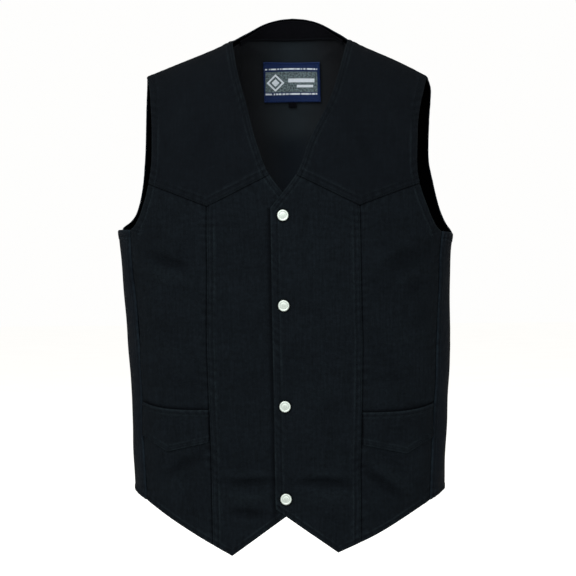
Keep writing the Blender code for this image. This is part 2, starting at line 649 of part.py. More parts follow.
def main():
    """Builds every piece of the vest."""
    for old in list(bpy.data.objects):
        bpy.data.objects.remove(old, do_unlink=True)

    denim = face_material("denim_black", (0.0068, 0.0086, 0.0109), 0.85)
    yoke_denim = face_material("denim_yoke", (0.0075, 0.0082, 0.0103), 0.85)
    facing_cloth = face_material("facing_black", (0.0024, 0.0024, 0.0037), 0.90)
    lining_cloth = face_material("lining_grey", (0.0116, 0.0152, 0.0152), 0.55)
    label_cloth = face_material("label_navy", (0.0070, 0.0130, 0.0800), 0.75)
    nickel = face_material("snap_nickel", (0.75, 0.78, 0.74), 0.28, 1.0)

    add_back("back_panel", denim)
    add_lining("back_lining", lining_cloth)
    add_inside_patch("back_neck_facing", facing_columns(), neck_edge_z, level(FACING_LOWER_Z),
                     FACING_ROWS, CLOTH + FACET_GAP, facing_cloth)
    on_lining = CLOTH + LOOSE_GAP + LINING + FACET_GAP
    label_x = LABEL_CENTRE_X + np.linspace(LABEL_HALF_WIDTH, -LABEL_HALF_WIDTH, LABEL_COLUMNS + 1)
    add_inside_patch("neck_label", label_x, level(LABEL_TOP_Z), level(LABEL_BOTTOM_Z), LABEL_ROWS,
                     on_lining, label_cloth)
    add_inside_patch("size_tab", LABEL_CENTRE_X + np.array([TAB_HALF_WIDTH, 0.0, -TAB_HALF_WIDTH]),
                     level(LABEL_BOTTOM_Z - SEAM_GAP), level(TAB_BOTTOM_Z), 1, on_lining, facing_cloth)

    for side, word in ((1, "left"), (-1, "right")):
        add_yoke(side, f"yoke_{word}", yoke_denim)
        add_front_centre(side, f"front_centre_{word}", denim)
        add_front_wall(f"front_side_{word}", side, side_front_grid(), denim)
        add_pocket_welt(side, f"pocket_welt_{word}", denim)

    for number, z in enumerate(SNAP_HEIGHTS, 1):
        add_snap_piece(f"snap_cap_{number}", CAP_PROFILE, z, LAP_SHIFT + SEAM_GAP, -1, nickel)
        add_snap_piece(f"snap_back_{number}", RIVET_PROFILE, z, -LAP_SHIFT - CLOTH - SEAM_GAP, 1, nickel)


if __name__ == "__main__":
    main()
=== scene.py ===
"""Finished look of a sleeveless black denim riding vest: cloth, sewing, label and snaps on its solids.

Metres, +Z up. +X is the wearer's left and the front faces -Y. The origin lies midway between the two
shoulders. Every panel is a thin shell on the form that its solid has, hung a little askew.
"""

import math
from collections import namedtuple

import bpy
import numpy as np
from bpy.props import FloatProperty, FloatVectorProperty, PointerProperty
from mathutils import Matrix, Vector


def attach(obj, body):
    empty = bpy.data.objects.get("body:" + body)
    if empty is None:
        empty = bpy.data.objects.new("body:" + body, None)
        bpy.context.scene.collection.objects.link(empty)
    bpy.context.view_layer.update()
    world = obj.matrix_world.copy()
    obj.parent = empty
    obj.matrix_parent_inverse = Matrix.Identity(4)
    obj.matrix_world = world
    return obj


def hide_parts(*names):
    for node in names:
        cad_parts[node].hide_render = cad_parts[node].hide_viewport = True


bl_info = {
    "name": "Denim riding vest",
    "version": (1, 0, 0),
    "blender": (4, 5, 0),
    "location": "3D View > Sidebar > Vest",
    "description": "Builds the finished cloth, sewing and snaps of a sleeveless denim vest",
    "category": "Object",
}

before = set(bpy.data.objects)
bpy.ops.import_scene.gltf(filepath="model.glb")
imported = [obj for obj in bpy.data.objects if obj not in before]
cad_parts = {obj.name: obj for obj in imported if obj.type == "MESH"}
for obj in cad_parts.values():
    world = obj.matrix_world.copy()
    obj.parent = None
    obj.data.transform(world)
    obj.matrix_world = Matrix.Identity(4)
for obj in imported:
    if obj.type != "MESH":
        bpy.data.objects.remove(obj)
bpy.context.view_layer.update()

# Gaps and steps of the cloth, as in the solids
SEAM_GAP = 0.0003
LOOSE_GAP = 0.0012
FACET_GAP = 0.0017
LAP_SHIFT = 0.00130

# Form of the body: superellipse rings |x/a|^n + |y/d|^n = 1
RING_POWER = 2.45
UNDERARM_Z = -0.2600

# Shoulders: below the top line the depth grows as sin(pi/2 * drop/reach)^power
FRONT_CLOSING_REACH = 0.190
BACK_CLOSING_REACH = 0.150
SHOULDER_CLOSING_POWER = 0.58
NECK_CLOSING_POWER = 0.85
NECK_HALF_WIDTH = 0.079
NECK_BLEND = 0.045
NECK_SWAY = 0.0062
SWAY_POWER = 4
SWAY_LOW_Z = -0.150
SWAY_RISE = 0.070
SHOULDER_TIP_X = 0.191
SLOPE_STEP = 0.002
OUTWARD_POWER = 0.6
NECK_LEVEL = 0.8
FOLD_FADE = 0.060

# Edges of the cut pieces, from the centre front at x = 0
YOKE_INNER = (0.0178, -0.188)
YOKE_TIP = (0.1000, -0.2285)
YOKE_OUTER = (0.1777, -0.1985)
LAP_CORNER = (-0.0160, -0.232)
LAP_HEM = (-0.0136, -0.6255)
LAP_FLAT_X = 0.020
LAP_RAMP = 0.040
FLANK_HEM_RISE = 0.0094
BACK_HEM_Z = -0.604
MOUTH_INNER_Z = -0.4955
MOUTH_SIDE_RISE = 0.0095
MOUTH_CURVE = 4.0
MOUTH_GAPE = 0.0022
WELT_INNER_Z = -0.5374
WELT_POINT = (0.158, -0.5505)
WELT_SIDE_Z = -0.5302
LEFT_POCKET_DROP = 0.0045
FACING_LOWER_Z = 0.011
FACING_HALF_WIDTH = 0.0720
FACING_LEAST_DEPTH = 0.0050
LINING_HEM_RISE = 0.020
LINING_SHOULDER_DROP = 0.004
LINING_TUCK = 0.005
LINING_STAND = 0.0008
FACING_STAND = 0.0013
FACING_TUCK = 0.0004
LINING_SIDE_INSET = 0.036
LABEL_CENTRE_X = 0.0038
LABEL_HALF_WIDTH = 0.0402
LABEL_CURVE_SHIFT = 0.0015
LABEL_TOP_Z = -0.017
LABEL_BOTTOM_Z = -0.073
TAB_HALF_WIDTH = 0.0055
TAB_BOTTOM_Z = -0.0805
SNAP_HEIGHTS = (-0.2415, -0.3590, -0.4910, -0.6125)

# Values that only space the grids and measure along them
CURVE_POINTS = 2000
TOP_CROWDING = 3
SHOULDER_MIDDLE_X = 0.13
LINING_MIDDLE_X = 0.10
BACK_SPREAD = 0.52
FLANK_SPREAD = 0.15
HEM_SLANT = 1.15
ARMHOLE_SLANT = 1.2
FACING_SPREAD = 2.2
FACING_DEPTH = 0.03
TAB_COLUMNS = 13
TAB_ROWS = 9
INWARD_STEPS = 4
LEAST_SINE_SQUARED = 0.05
TINY = 1e-12

SIDES = ((1, "left"), (-1, "right"))
BORDERS = ("left", "right", "bottom", "top")
ALL = (slice(None), slice(None))


def table(names, rows):
    """Named columns of a short table, as arrays."""
    return dict(zip(names.split(), np.array(rows, dtype=float).T))


BODY = table("z half_width front_depth back_depth", (
    (-0.700, 0.2060, 0.110, 0.111),
    (-0.609, 0.2090, 0.112, 0.108),
    (-0.549, 0.2115, 0.115, 0.103),
    (-0.490, 0.2140, 0.118, 0.100),
    (-0.384, 0.2191, 0.128, 0.105),
    (-0.297, 0.2230, 0.132, 0.117),
    (-0.260, 0.2265, 0.133, 0.121),
    (-0.200, 0.2285, 0.133, 0.125),
    (-0.140, 0.2275, 0.132, 0.126),
    (-0.080, 0.2250, 0.129, 0.124),
    (0.000, 0.2200, 0.124, 0.121),
    (0.050, 0.2150, 0.120, 0.118),
))

# How the hung cloth strays from the plain form: the flanks lean aside by `lean`, the left one drops and the
# right one rises by `drop`, and along the right side seam the cloth slides to the front by the turn `slide`
HANG = table("z lean drop slide", (
    (-0.620, 0.0000, 0.0000, 0.000),
    (-0.510, 0.0004, 0.0000, 0.014),
    (-0.440, 0.0020, 0.0004, 0.030),
    (-0.400, 0.0005, 0.0011, 0.038),
    (-0.350, -0.0018, 0.0024, 0.036),
    (-0.300, -0.0031, 0.0036, 0.028),
    (-0.260, -0.0022, 0.0040, 0.016),
    (-0.200, 0.0000, 0.0032, 0.000),
    (-0.120, 0.0000, 0.0030, 0.000),
    (-0.050, 0.0000, 0.0040, 0.000),
    (0.000, 0.0000, 0.0030, 0.000),
))
LEAN_POWER = 12
DROP_POWER = 4
SLIDE_TURN = -1.12
SLIDE_SHARPNESS = 16

TOP_LINE = table("x back_z back_y front_z", (
    (0.000, 0.0380, 0.0720, 0.0100),
    (0.020, 0.0357, 0.0695, 0.0095),
    (0.040, 0.0290, 0.0615, 0.0080),
    (0.060, 0.0165, 0.0450, 0.0050),
    (0.072, 0.0075, 0.0240, 0.0020),
    (0.079, 0.0000, 0.0000, 0.0000),
    (0.097, -0.0090, 0.0000, -0.0090),
    (0.118, -0.0180, 0.0000, -0.0180),
    (0.141, -0.0275, 0.0000, -0.0275),
    (0.165, -0.0380, 0.0000, -0.0380),
    (0.191, -0.0505, 0.0000, -0.0505),
    (0.235, -0.0740, 0.0000, -0.0740),
))

NECK_EDGE = table("z x", (
    (-0.232, -0.0160),
    (-0.182, 0.0215),
    (-0.150, 0.0330),
    (-0.066, 0.0630),
    (0.000, 0.0790),
))

# The vest hangs a little askew, so that its left and right armholes differ
FRONT_ARMHOLE = table("z left right", (
    (-0.2600, 0.2090, 0.2090),
    (-0.2586, 0.2062, 0.2062),
    (-0.2540, 0.2012, 0.2012),
    (-0.2468, 0.1966, 0.1966),
    (-0.2385, 0.1924, 0.1924),
    (-0.2260, 0.1878, 0.1878),
    (-0.2120, 0.1828, 0.1828),
    (-0.2000, 0.1795, 0.1795),
    (-0.1860, 0.1765, 0.1765),
    (-0.1390, 0.1760, 0.1760),
    (-0.0960, 0.1805, 0.1788),
    (-0.0670, 0.1868, 0.1836),
    (-0.0500, 0.1905, 0.1886),
))

BACK_ARMHOLE = table("z left right", (
    (-0.260, 0.2258, 0.2258),
    (-0.255, 0.2232, 0.2246),
    (-0.247, 0.2176, 0.2184),
    (-0.238, 0.2130, 0.2134),
    (-0.226, 0.2086, 0.2096),
    (-0.212, 0.2050, 0.2064),
    (-0.190, 0.1998, 0.2030),
    (-0.165, 0.1941, 0.2013),
    (-0.135, 0.1929, 0.1994),
    (-0.105, 0.1942, 0.1967),
    (-0.080, 0.1963, 0.1940),
    (-0.064, 0.1962, 0.1919),
    (-0.050, 0.1912, 0.1897),
))

PRINCESS_SEAM = table("z x", (
    (-0.690, 0.0970),
    (-0.560, 0.0985),
    (-0.490, 0.1005),
    (-0.390, 0.1020),
    (-0.330, 0.1010),
    (-0.227, 0.1000),
))

SIDE_SEAM = table("z x", (
    (-0.620, 0.1890),
    (-0.546, 0.1930),
    (-0.444, 0.1980),
    (-0.327, 0.2050),
    (-0.260, 0.2090),
))

# Front hems from their point to the side seam
SIDE_HEM = table("left_x left_z right_x right_z", (
    (0.0678, -0.6830, 0.0717, -0.6868),
    (0.1276, -0.6554, 0.1276, -0.6560),
    (0.1600, -0.6366, 0.1600, -0.6358),
    (0.1890, -0.6189, 0.1890, -0.6168),
))

# Soft folds and creases of the cloth: face is -1 on the front and +1 on the back, tilt in degrees,
# bend in radians of turn per metre along the fold; troughs have a negative height
FOLDS = table("face x z tilt half_length half_width height bend", (
    (-1, -0.048, -0.591, 2, 0.030, 0.0052, -0.0040, 3),
    (-1, -0.046, -0.582, 3, 0.026, 0.0055, 0.0014, 3),
    (-1, -0.050, -0.611, 0, 0.030, 0.0100, 0.0020, 0),
    (-1, -0.052, -0.632, -3, 0.023, 0.0050, -0.0034, -4),
    (-1, 0.052, -0.591, -2, 0.038, 0.0054, -0.0034, -3),
    (-1, 0.054, -0.581, -3, 0.030, 0.0055, 0.0012, -3),
    (-1, 0.058, -0.611, -5, 0.030, 0.0100, 0.0018, 0),
    (-1, 0.126, -0.594, -36, 0.032, 0.0064, -0.0034, 5),
    (-1, 0.136, -0.586, -36, 0.024, 0.0100, 0.0016, 0),
    (-1, -0.137, -0.568, 29, 0.028, 0.0080, -0.0030, -4),
    (-1, -0.145, -0.588, 33, 0.024, 0.0100, 0.0014, 0),
    (-1, -0.154, -0.302, -16, 0.025, 0.0068, -0.0032, 5),
    (-1, -0.152, -0.318, -18, 0.024, 0.0095, 0.0016, 0),
    (-1, 0.160, -0.302, 25, 0.030, 0.0120, -0.0020, 0),
    (-1, 0.172, -0.336, 40, 0.016, 0.0075, -0.0018, -4),
    (1, -0.090, -0.420, 20, 0.060, 0.020, -0.0030, 0),
    (1, 0.085, -0.450, -18, 0.060, 0.020, -0.0030, 0),
    (1, 0.020, -0.530, 4, 0.090, 0.020, 0.0030, 0),
    (1, -0.130, -0.230, 60, 0.060, 0.018, -0.0025, 0),
    (1, 0.135, -0.215, -62, 0.060, 0.018, -0.0025, 0),
    # finer creases of the fronts
    (-1, -0.040, -0.601, 5, 0.024, 0.0040, -0.0009, 6),
    (-1, 0.068, -0.527, 0, 0.016, 0.0042, -0.0013, 5),
    (-1, 0.142, -0.566, -38, 0.014, 0.0055, -0.0014, -6),
    (-1, -0.058, -0.627, -3, 0.020, 0.0045, -0.0008, -5),
    (-1, -0.028, -0.645, 12, 0.016, 0.0040, 0.0007, 8),
    (-1, 0.048, -0.589, -4, 0.026, 0.0040, -0.0009, -7),
    (-1, 0.070, -0.606, 7, 0.018, 0.0045, 0.0008, 6),
    (-1, 0.066, -0.640, -9, 0.022, 0.0050, -0.0007, 4),
    (-1, 0.124, -0.588, -36, 0.020, 0.0050, -0.0011, 9),
    (-1, 0.150, -0.600, -48, 0.018, 0.0050, 0.0008, -6),
    (-1, -0.128, -0.583, 30, 0.021, 0.0050, -0.0010, -8),
    (-1, -0.152, -0.572, 48, 0.017, 0.0055, 0.0008, 5),
    (-1, -0.150, -0.300, -18, 0.019, 0.0050, -0.0011, 7),
    (-1, -0.162, -0.322, -30, 0.022, 0.0060, 0.0009, -5),
    (-1, -0.135, -0.338, -35, 0.026, 0.0070, -0.0008, 4),
    (-1, 0.152, -0.294, 22, 0.020, 0.0050, -0.0010, -7),
    (-1, 0.163, -0.321, 34, 0.023, 0.0065, 0.0009, 5),
    (-1, 0.132, -0.343, 38, 0.024, 0.0070, -0.0008, -6),
    (-1, -0.030, -0.372, 24, 0.018, 0.0050, -0.0007, 8),
    (-1, 0.036, -0.366, -20, 0.019, 0.0050, -0.0007, -8),
    (-1, -0.034, -0.452, 10, 0.022, 0.0060, -0.0007, -4),
    (-1, 0.042, -0.470, -12, 0.024, 0.0060, 0.0007, 5),
    (-1, 0.030, -0.430, 14, 0.019, 0.0055, -0.0006, 7),
    (-1, -0.130, -0.462, -8, 0.028, 0.0070, -0.0009, 5),
    (-1, 0.140, -0.455, 10, 0.027, 0.0070, -0.0009, -5),
    (-1, -0.150, -0.415, -14, 0.025, 0.0080, 0.0008, 4),
    (-1, 0.156, -0.405, 16, 0.026, 0.0080, 0.0008, -3),
    (-1, -0.105, -0.140, 62, 0.034, 0.0090, -0.0010, 3),
    (-1, 0.108, -0.150, -60, 0.036, 0.0090, -0.0010, -3),
    (-1, -0.140, -0.105, 70, 0.030, 0.0080, 0.0008, -4),
    (-1, 0.142, -0.112, -72, 0.028, 0.0080, 0.0008, 4),
    # finer creases of the back
    (1, -0.060, -0.395, 16, 0.040, 0.0070, -0.0012, 4),
    (1, 0.070, -0.425, -15, 0.036, 0.0070, -0.0012, -4),
    (1, -0.110, -0.452, 26, 0.032, 0.0065, 0.0010, 5),
    (1, 0.115, -0.478, -24, 0.034, 0.0065, 0.0010, -5),
    (1, 0.000, -0.500, 2, 0.045, 0.0080, -0.0011, 3),
    (1, -0.040, -0.552, -5, 0.038, 0.0080, -0.0009, 4),
    (1, 0.062, -0.562, 6, 0.034, 0.0075, 0.0009, -4),
    (1, -0.120, -0.190, 64, 0.038, 0.0080, -0.0011, 3),
    (1, 0.122, -0.178, -66, 0.036, 0.0080, -0.0011, -3),
    (1, -0.150, -0.255, 52, 0.030, 0.0070, 0.0009, 4),
    (1, 0.150, -0.246, -54, 0.028, 0.0070, 0.0009, -4),
    (1, -0.020, -0.090, 80, 0.050, 0.0120, -0.0010, 2),
    (1, 0.030, -0.120, 96, 0.046, 0.0120, -0.0009, -2),
    (1, -0.190, -0.430, 12, 0.030, 0.0080, -0.0010, 3),
    (1, 0.192, -0.395, -14, 0.028, 0.0080, -0.0010, -3),
))

# Soft folds of the loose lining, on the inside of the back
LINING_FOLDS = table("face x z tilt half_length half_width height bend", (
    (1, -0.052, 0.002, -32, 0.018, 0.0045, -0.0016, 8),
    (1, -0.058, -0.016, -26, 0.020, 0.0060, 0.0012, 6),
    (1, 0.058, -0.006, 30, 0.018, 0.0050, -0.0012, -8),
    (1, -0.070, -0.070, 72, 0.050, 0.0100, -0.0016, 2),
    (1, 0.072, -0.085, -74, 0.050, 0.0100, -0.0014, -2),
    (1, -0.020, -0.160, 84, 0.060, 0.0120, -0.0014, 2),
    (1, 0.030, -0.190, 95, 0.060, 0.0120, 0.0014, -2),
    (1, -0.100, -0.340, 78, 0.090, 0.0140, -0.0018, 1),
    (1, 0.090, -0.380, 100, 0.090, 0.0140, -0.0018, -1),
    (1, 0.000, -0.560, 3, 0.100, 0.0090, 0.0016, 1),
))

# Slow waves of the cloth: cycles per metre across and up, phase and height
SWELLS = table("across up phase height", (
    (7.3, 5.1, 0.4, 0.00045),
    (-4.6, 9.2, 2.1, 0.00040),
    (12.4, -6.7, 4.0, 0.00025),
    (9.1, 14.3, 1.2, 0.00018),
))
MEAN_RADIUS = 0.18

# Sewn edges: a doubled strip of cloth that stands up, an edge that rolls down, rows of stitches and puckers
Seam = namedtuple("Seam", "strip rise roll reach rows pucker")
SEAMS = {
    "hem": Seam(0.0066, 0.0007, 0.0007, 0.0020, (0.0052,), 0.00030),
    "armhole": Seam(0.0104, 0.0007, 0.0007, 0.0020, (0.0086,), 0.00028),
    "neck": Seam(0.0078, 0.0006, 0.0007, 0.0020, (0.0016, 0.0064), 0.00015),
    "lap": Seam(0.0102, 0.0006, 0.0008, 0.0022, (0.0086,), 0.00014),
    "princess_fold": Seam(0.0096, 0.0009, 0.0010, 0.0024, (0.0018, 0.0078), 0.00017),
    "yoke_fold": Seam(0.0098, 0.0009, 0.0010, 0.0024, (0.0018, 0.0080), 0.00022),
    "shoulder_fold": Seam(0.0082, 0.0007, 0.0008, 0.0022, (0.0064,), 0.00016),
    "side_fold": Seam(0.0078, 0.0008, 0.0009, 0.0024, (0.0060,), 0.00024),
    "sunk": Seam(0.0, 0.0, 0.0013, 0.0040, (), 0.00012),
    "mouth": Seam(0.0060, 0.0008, 0.0007, 0.0020, (0.0052,), 0.00012),
    "welt_edge": Seam(0.0064, 0.0004, 0.0003, 0.0012, (0.0020, 0.0056), 0.00012),
    "lining_edge": Seam(0.0050, 0.0004, 0.0005, 0.0020, (), 0.00020),
    "facing_edge": Seam(0.0040, 0.0003, 0.0005, 0.0018, (0.0022,), 0.00012),
    "label_edge": Seam(0.0030, 0.0002, 0.0003, 0.0012, (0.0015,), 0.00006),
    "plain": Seam(0.0, 0.0, 0.0003, 0.0012, (), 0.0),
}

# Folds: painted shade in a trough, paler cloth on a ridge, and the height that counts as a whole fold
TROUGH_SHADE = 0.38
RIDGE_PALING = 0.30
FULL_FOLD = 0.0024

# Relief beside a sewn edge: grooves by depth and width, and how much of a strip shows on the inside
STRIP_FALL = 0.0016
GROOVE = (0.00045, 0.0010)
INSIDE_STRIP = 0.4
RIM_BULGE = 0.30

# Puckers: waves along the edge that drift, slant into the cloth and swell by height, rate and phase
PUCKER_SPACING = 0.0118
PUCKER_DRIFT = 0.083
PUCKER_DRIFT_TURN = 2.1
PUCKER_SLANT = 190.0
PUCKER_WIDTH = 0.0065
PUCKER_PLACE = 0.6
PUCKER_LEAST_STRIP = 0.004
PUCKER_MEAN = 0.65
PUCKER_SWELL = (0.35, 61.0, 1.0)

# Rubbing comes and goes along an edge: its mean, and two waves of height, rate and phase
RUB_MEAN = 0.70
RUB_SWELL = (0.28, 37.0)
RUB_SHIFT = 9.0
RUB_RIPPLE = (0.22, 93.0, 2.0)

# Rubbed bands, bands of painted shade and sunk bands of the cloth, by strength and width, and how far some
# lie off their line
EDGE_RUB = (0.80, 0.0017)
RIDGE_RUB = (0.30, 0.0014)
ROW_RUB = (0.34, 0.0012)
ROW_RUB_STEP = 0.0019
ROW_SHADE = (0.50, 0.0009)
# DITCH_SHADE is painted shade down in a seam, where it also stands for dye that never fades
DITCH_SHADE = (1.0, 0.0013)
CREST_RUB = 0.24
LAP_SHADE = (0.60, 0.0034)
LAP_SINK = (0.0008, 0.0034)
LAP_SHADE_STEP = 0.0015
MOUTH_SHADE = (0.90, 0.0022)
MOUTH_SINK = (0.0006, 0.0040)
MOUTH_SHADE_RISE = 0.0006
SNAP_SHADE = (0.90, 0.0016)

# How a pocket's mouth gapes across and up its welt, and the dish that a snap presses into the cloth
GAPE_POWER = 0.7
GAPE_RISE_POWER = 3
SNAP_DISH = 0.0005
SNAP_DISH_REACH = 1.5

# Sections of a stitch: share of its length, radius as a share of the thread's own and lift of its width
BEAD = table("share radius lift", (
    (-0.50, 0.50, -0.30),
    (-0.26, 1.00, 0.16),
    (0.26, 1.00, 0.16),
    (0.50, 0.50, -0.30),
))
BEAD_CORNERS = 6
BEAD_FLATNESS = 0.8
STITCH_STRAY = 0.06
STITCH_SKEW = 0.07

# Snap profiles from the cloth outwards: radius and height as shares of the cap's radius, and painted shine,
# which paints shade in the groove and on the sides and a highlight on the ring
CAP_PROFILE = np.array((
    (0.00, 0.000, 0.0), (0.84, 0.000, 0.0), (0.90, 0.020, 0.0), (0.96, 0.050, 0.0), (1.00, 0.100, 0.0),
    (1.00, 0.140, 0.0), (0.985, 0.180, 0.0), (0.95, 0.215, 0.0), (0.90, 0.240, 0.4), (0.84, 0.250, 0.6),
    (0.78, 0.249, 0.6), (0.72, 0.238, 0.5), (0.67, 0.220, 0.3), (0.63, 0.210, 0.2), (0.59, 0.213, 0.3),
    (0.54, 0.226, 0.4), (0.48, 0.238, 0.5), (0.42, 0.246, 0.4), (0.37, 0.249, 0.3), (0.30, 0.256, 0.3),
    (0.20, 0.263, 0.3), (0.10, 0.267, 0.3), (0.00, 0.268, 0.3)))
RIVET_PROFILE = np.array((
    (0.00, 0.000, 0.0), (0.78, 0.000, 0.0), (0.80, 0.020, 0.3), (0.80, 0.060, 0.6), (0.78, 0.090, 0.8),
    (0.70, 0.135, 0.9), (0.58, 0.165, 1.0), (0.46, 0.172, 0.8), (0.38, 0.165, 0.6), (0.31, 0.135, 0.2),
    (0.28, 0.100, 0.0), (0.24, 0.085, 0.1), (0.12, 0.090, 0.4), (0.00, 0.092, 0.4)))
CAP_SEGMENTS = 64

# Shared weave: slant of its ribs, yarns to a rib, and how high yarns, ribs and fuzz stand
RIB_SLANT = 0.5
YARNS_PER_RIB = 2.0
YARN_HEIGHT = 0.25
RIB_HEIGHT = 0.6
FUZZ_HEIGHT = 0.8

# Denims by tone and unevenness of dye, and threads by colour and turns of twist in a stitch
DENIMS = {
    "denim_body": ((1.0, 1.0, 1.0), 1.0),
    "denim_yoke": ((0.87, 0.84, 0.86), 0.6),
    "denim_back": ((0.98, 1.03, 1.14), 1.0),
}
THREADS = {"topstitch_thread": "thread", "label_thread": "label_border"}
THREAD_TURNS = 3.0

# Mottle of dye and rubbing: scale, detail and upward stretch of its noise
MOTTLES = {"Broad": (26.0, 3.0, 1.0), "Fine": (260.0, 2.0, 1.0), "Weft": (45.0, 2.0, 4.0)}

# Painted pool of light on the lining round the label, with painted shade beside and below it: half width of
# the lit middle, its lowest height, and how softly it ends there
LINING_LIT_WIDTH = 0.039
LINING_LIT_LOW_Z = -0.124
LINING_LIT_FADE = 0.0060

# Label's pattern from its middle: bars as x, z, half width and half height, and lozenges about one place
LABEL_FIELD = (0.0, 0.0012, LABEL_HALF_WIDTH - 0.0035, 0.0148)
LABEL_LINES = (
    (-0.0004, 0.0198, LABEL_HALF_WIDTH - 0.0030, 0.0011),
    (0.0, -0.0162, LABEL_HALF_WIDTH - 0.0034, 0.0012),
)
LABEL_BARS = (
    (0.0140, 0.0032, 0.0185, 0.0027),
    (0.0190, -0.0050, 0.0115, 0.0018),
)
LOZENGE_PLACE = (-0.0225, 0.0)
LOZENGE_SIZES = (0.0125, 0.0092, 0.0055)

# Label's weave: where its lines break off, how softly its grain is cut, and how high its pale weft stands
DASH_THRESHOLD = 0.43
GRAIN_SOFTNESS = 0.1
PALE_WEFT_HEIGHT = 0.8

# Lights by name, place and size, and the look of the surroundings
LIGHTS = (
    ("key", (-1.15, -2.75, 2.0), 3.0),
    ("fill", (2.6, -2.4, 0.4), 3.0),
    ("front", (0.2, -3.4, 0.3), 1.5),
)
SENSOR_WIDTH = 36.0
BACKDROP = (0.992, 0.989, 0.980, 1.0)
FLOOR_DARK = (0.78, 0.775, 0.76, 1.0)
FLOOR_PALE = (0.82, 0.815, 0.80, 1.0)
FLOOR_GLOW = 0.20
FLOOR_REACH = 30.0


def smooth(knots, values, at):
    """Cubic Hermite curve through a table's rows, its slopes taken from the neighbouring rows."""
    slopes = np.gradient(values, knots)
    at = np.asarray(at, dtype=float)
    low = np.clip(np.searchsorted(knots, at) - 1, 0, len(knots) - 2)
    step = knots[low + 1] - knots[low]
    t = np.clip((at - knots[low]) / step, 0.0, 1.0)
    return (values[low] * (1 + 2 * t) * (1 - t) ** 2
            + step * slopes[low] * t * (1 - t) ** 2
            + values[low + 1] * t ** 2 * (3 - 2 * t)
            + step * slopes[low + 1] * t ** 2 * (t - 1))


def at_height(rows, column, z):
    """Column of a table of heights, read off its smooth curve at other heights."""
    return smooth(rows["z"], rows[column], z)


def ease(t):
    """Soft step from 0 to 1: 3t^2 - 2t^3."""
    t = np.clip(t, 0.0, 1.0)
    return t * t * (3 - 2 * t)


def band(distance, strength, width):
    """Bell-shaped band: strength * exp(-(distance / width)^2)."""
    return strength * np.exp(-(distance / width) ** 2)


def ripple(run, height, rate, phase):
    """Wave along a run: height * sin(rate * run + phase)."""
    return height * np.sin(rate * run + phase)


def unit(vectors):
    """Vectors made one long, along their last axis."""
    return vectors / np.maximum(np.linalg.norm(vectors, axis=-1, keepdims=True), TINY)


def turn_of(x, z, face):
    """Angle from the centre front where the ring at height z has this x, on the front (-1) or back (+1)."""
    share = np.clip(np.abs(x) / at_height(BODY, "half_width", z), 0.0, 1.0)
    depth_share = (1.0 - share ** RING_POWER) ** (1.0 / RING_POWER)
    angle = np.arctan2(share, -face * depth_share)
    return np.sign(x) * angle if face < 0 else np.where(x < 0, 2 * math.pi - angle, angle)


def face_of(turn):
    """Front (-1) or back (+1), whichever a turn from the centre front lies on."""
    return np.where(np.cos(turn) >= 0, -1, 1)


def neck_sway(x):
    """How far the neck's form moves to the wearer's left: fully over the neck, not at all at the tips."""
    return NECK_SWAY * (1 - np.clip(np.abs(x) / SHOULDER_TIP_X, 0.0, 1.0) ** SWAY_POWER)


def top_line(column, x):
    """A column of the top line's table at a place across the vest."""
    return smooth(TOP_LINE["x"], TOP_LINE[column], np.abs(x - neck_sway(x)))


def ring_radius(turn):
    """Radius of the superellipse with half axes 1 at a turn: (|sin|^n + |cos|^n)^(-1/n)."""
    return (np.abs(np.sin(turn)) ** RING_POWER + np.abs(np.cos(turn)) ** RING_POWER) ** (-1 / RING_POWER)


def step_lengths(points, axis):
    """Distances between neighbouring points of a grid along one of its axes."""
    return np.linalg.norm(np.diff(points, axis=axis), axis=-1)


def run_along(points):
    """Distance along a line of points, from its first one."""
    return np.concatenate([[0.0], np.cumsum(step_lengths(points, 0))])


def read_along(run, values, at):
    """Rows of values at distances along a run."""
    return np.stack([np.interp(at, run, column) for column in values.T], axis=-1)


def fold_height(x, z, face, folds=FOLDS):
    """Sum of the folds: each has a bell-shaped section exp(-across^2) and dies out as exp(-along^2)."""
    total = np.zeros(np.broadcast(x, z).shape)
    for side, fx, fz, tilt, length, width, height, bend in zip(*folds.values()):
        c, s = math.cos(math.radians(tilt)), math.sin(math.radians(tilt))
        along = (x - fx) * c + (z - fz) * s
        across = (z - fz) * c - (x - fx) * s - bend * along ** 2 / 2
        hump = np.exp(-(along / length) ** 2 - (across / width) ** 2)
        total += np.where(face == side, height * hump, 0.0)
    return total


def swell_height(turn, z):
    """Slow unevenness of the cloth: sine waves over the girth (turn times a mean radius) and the height."""
    girth = turn * MEAN_RADIUS
    waves = (height * np.sin(2 * math.pi * (across * girth + up * z) + phase)
             for across, up, phase, height in zip(*SWELLS.values()))
    return sum(waves)


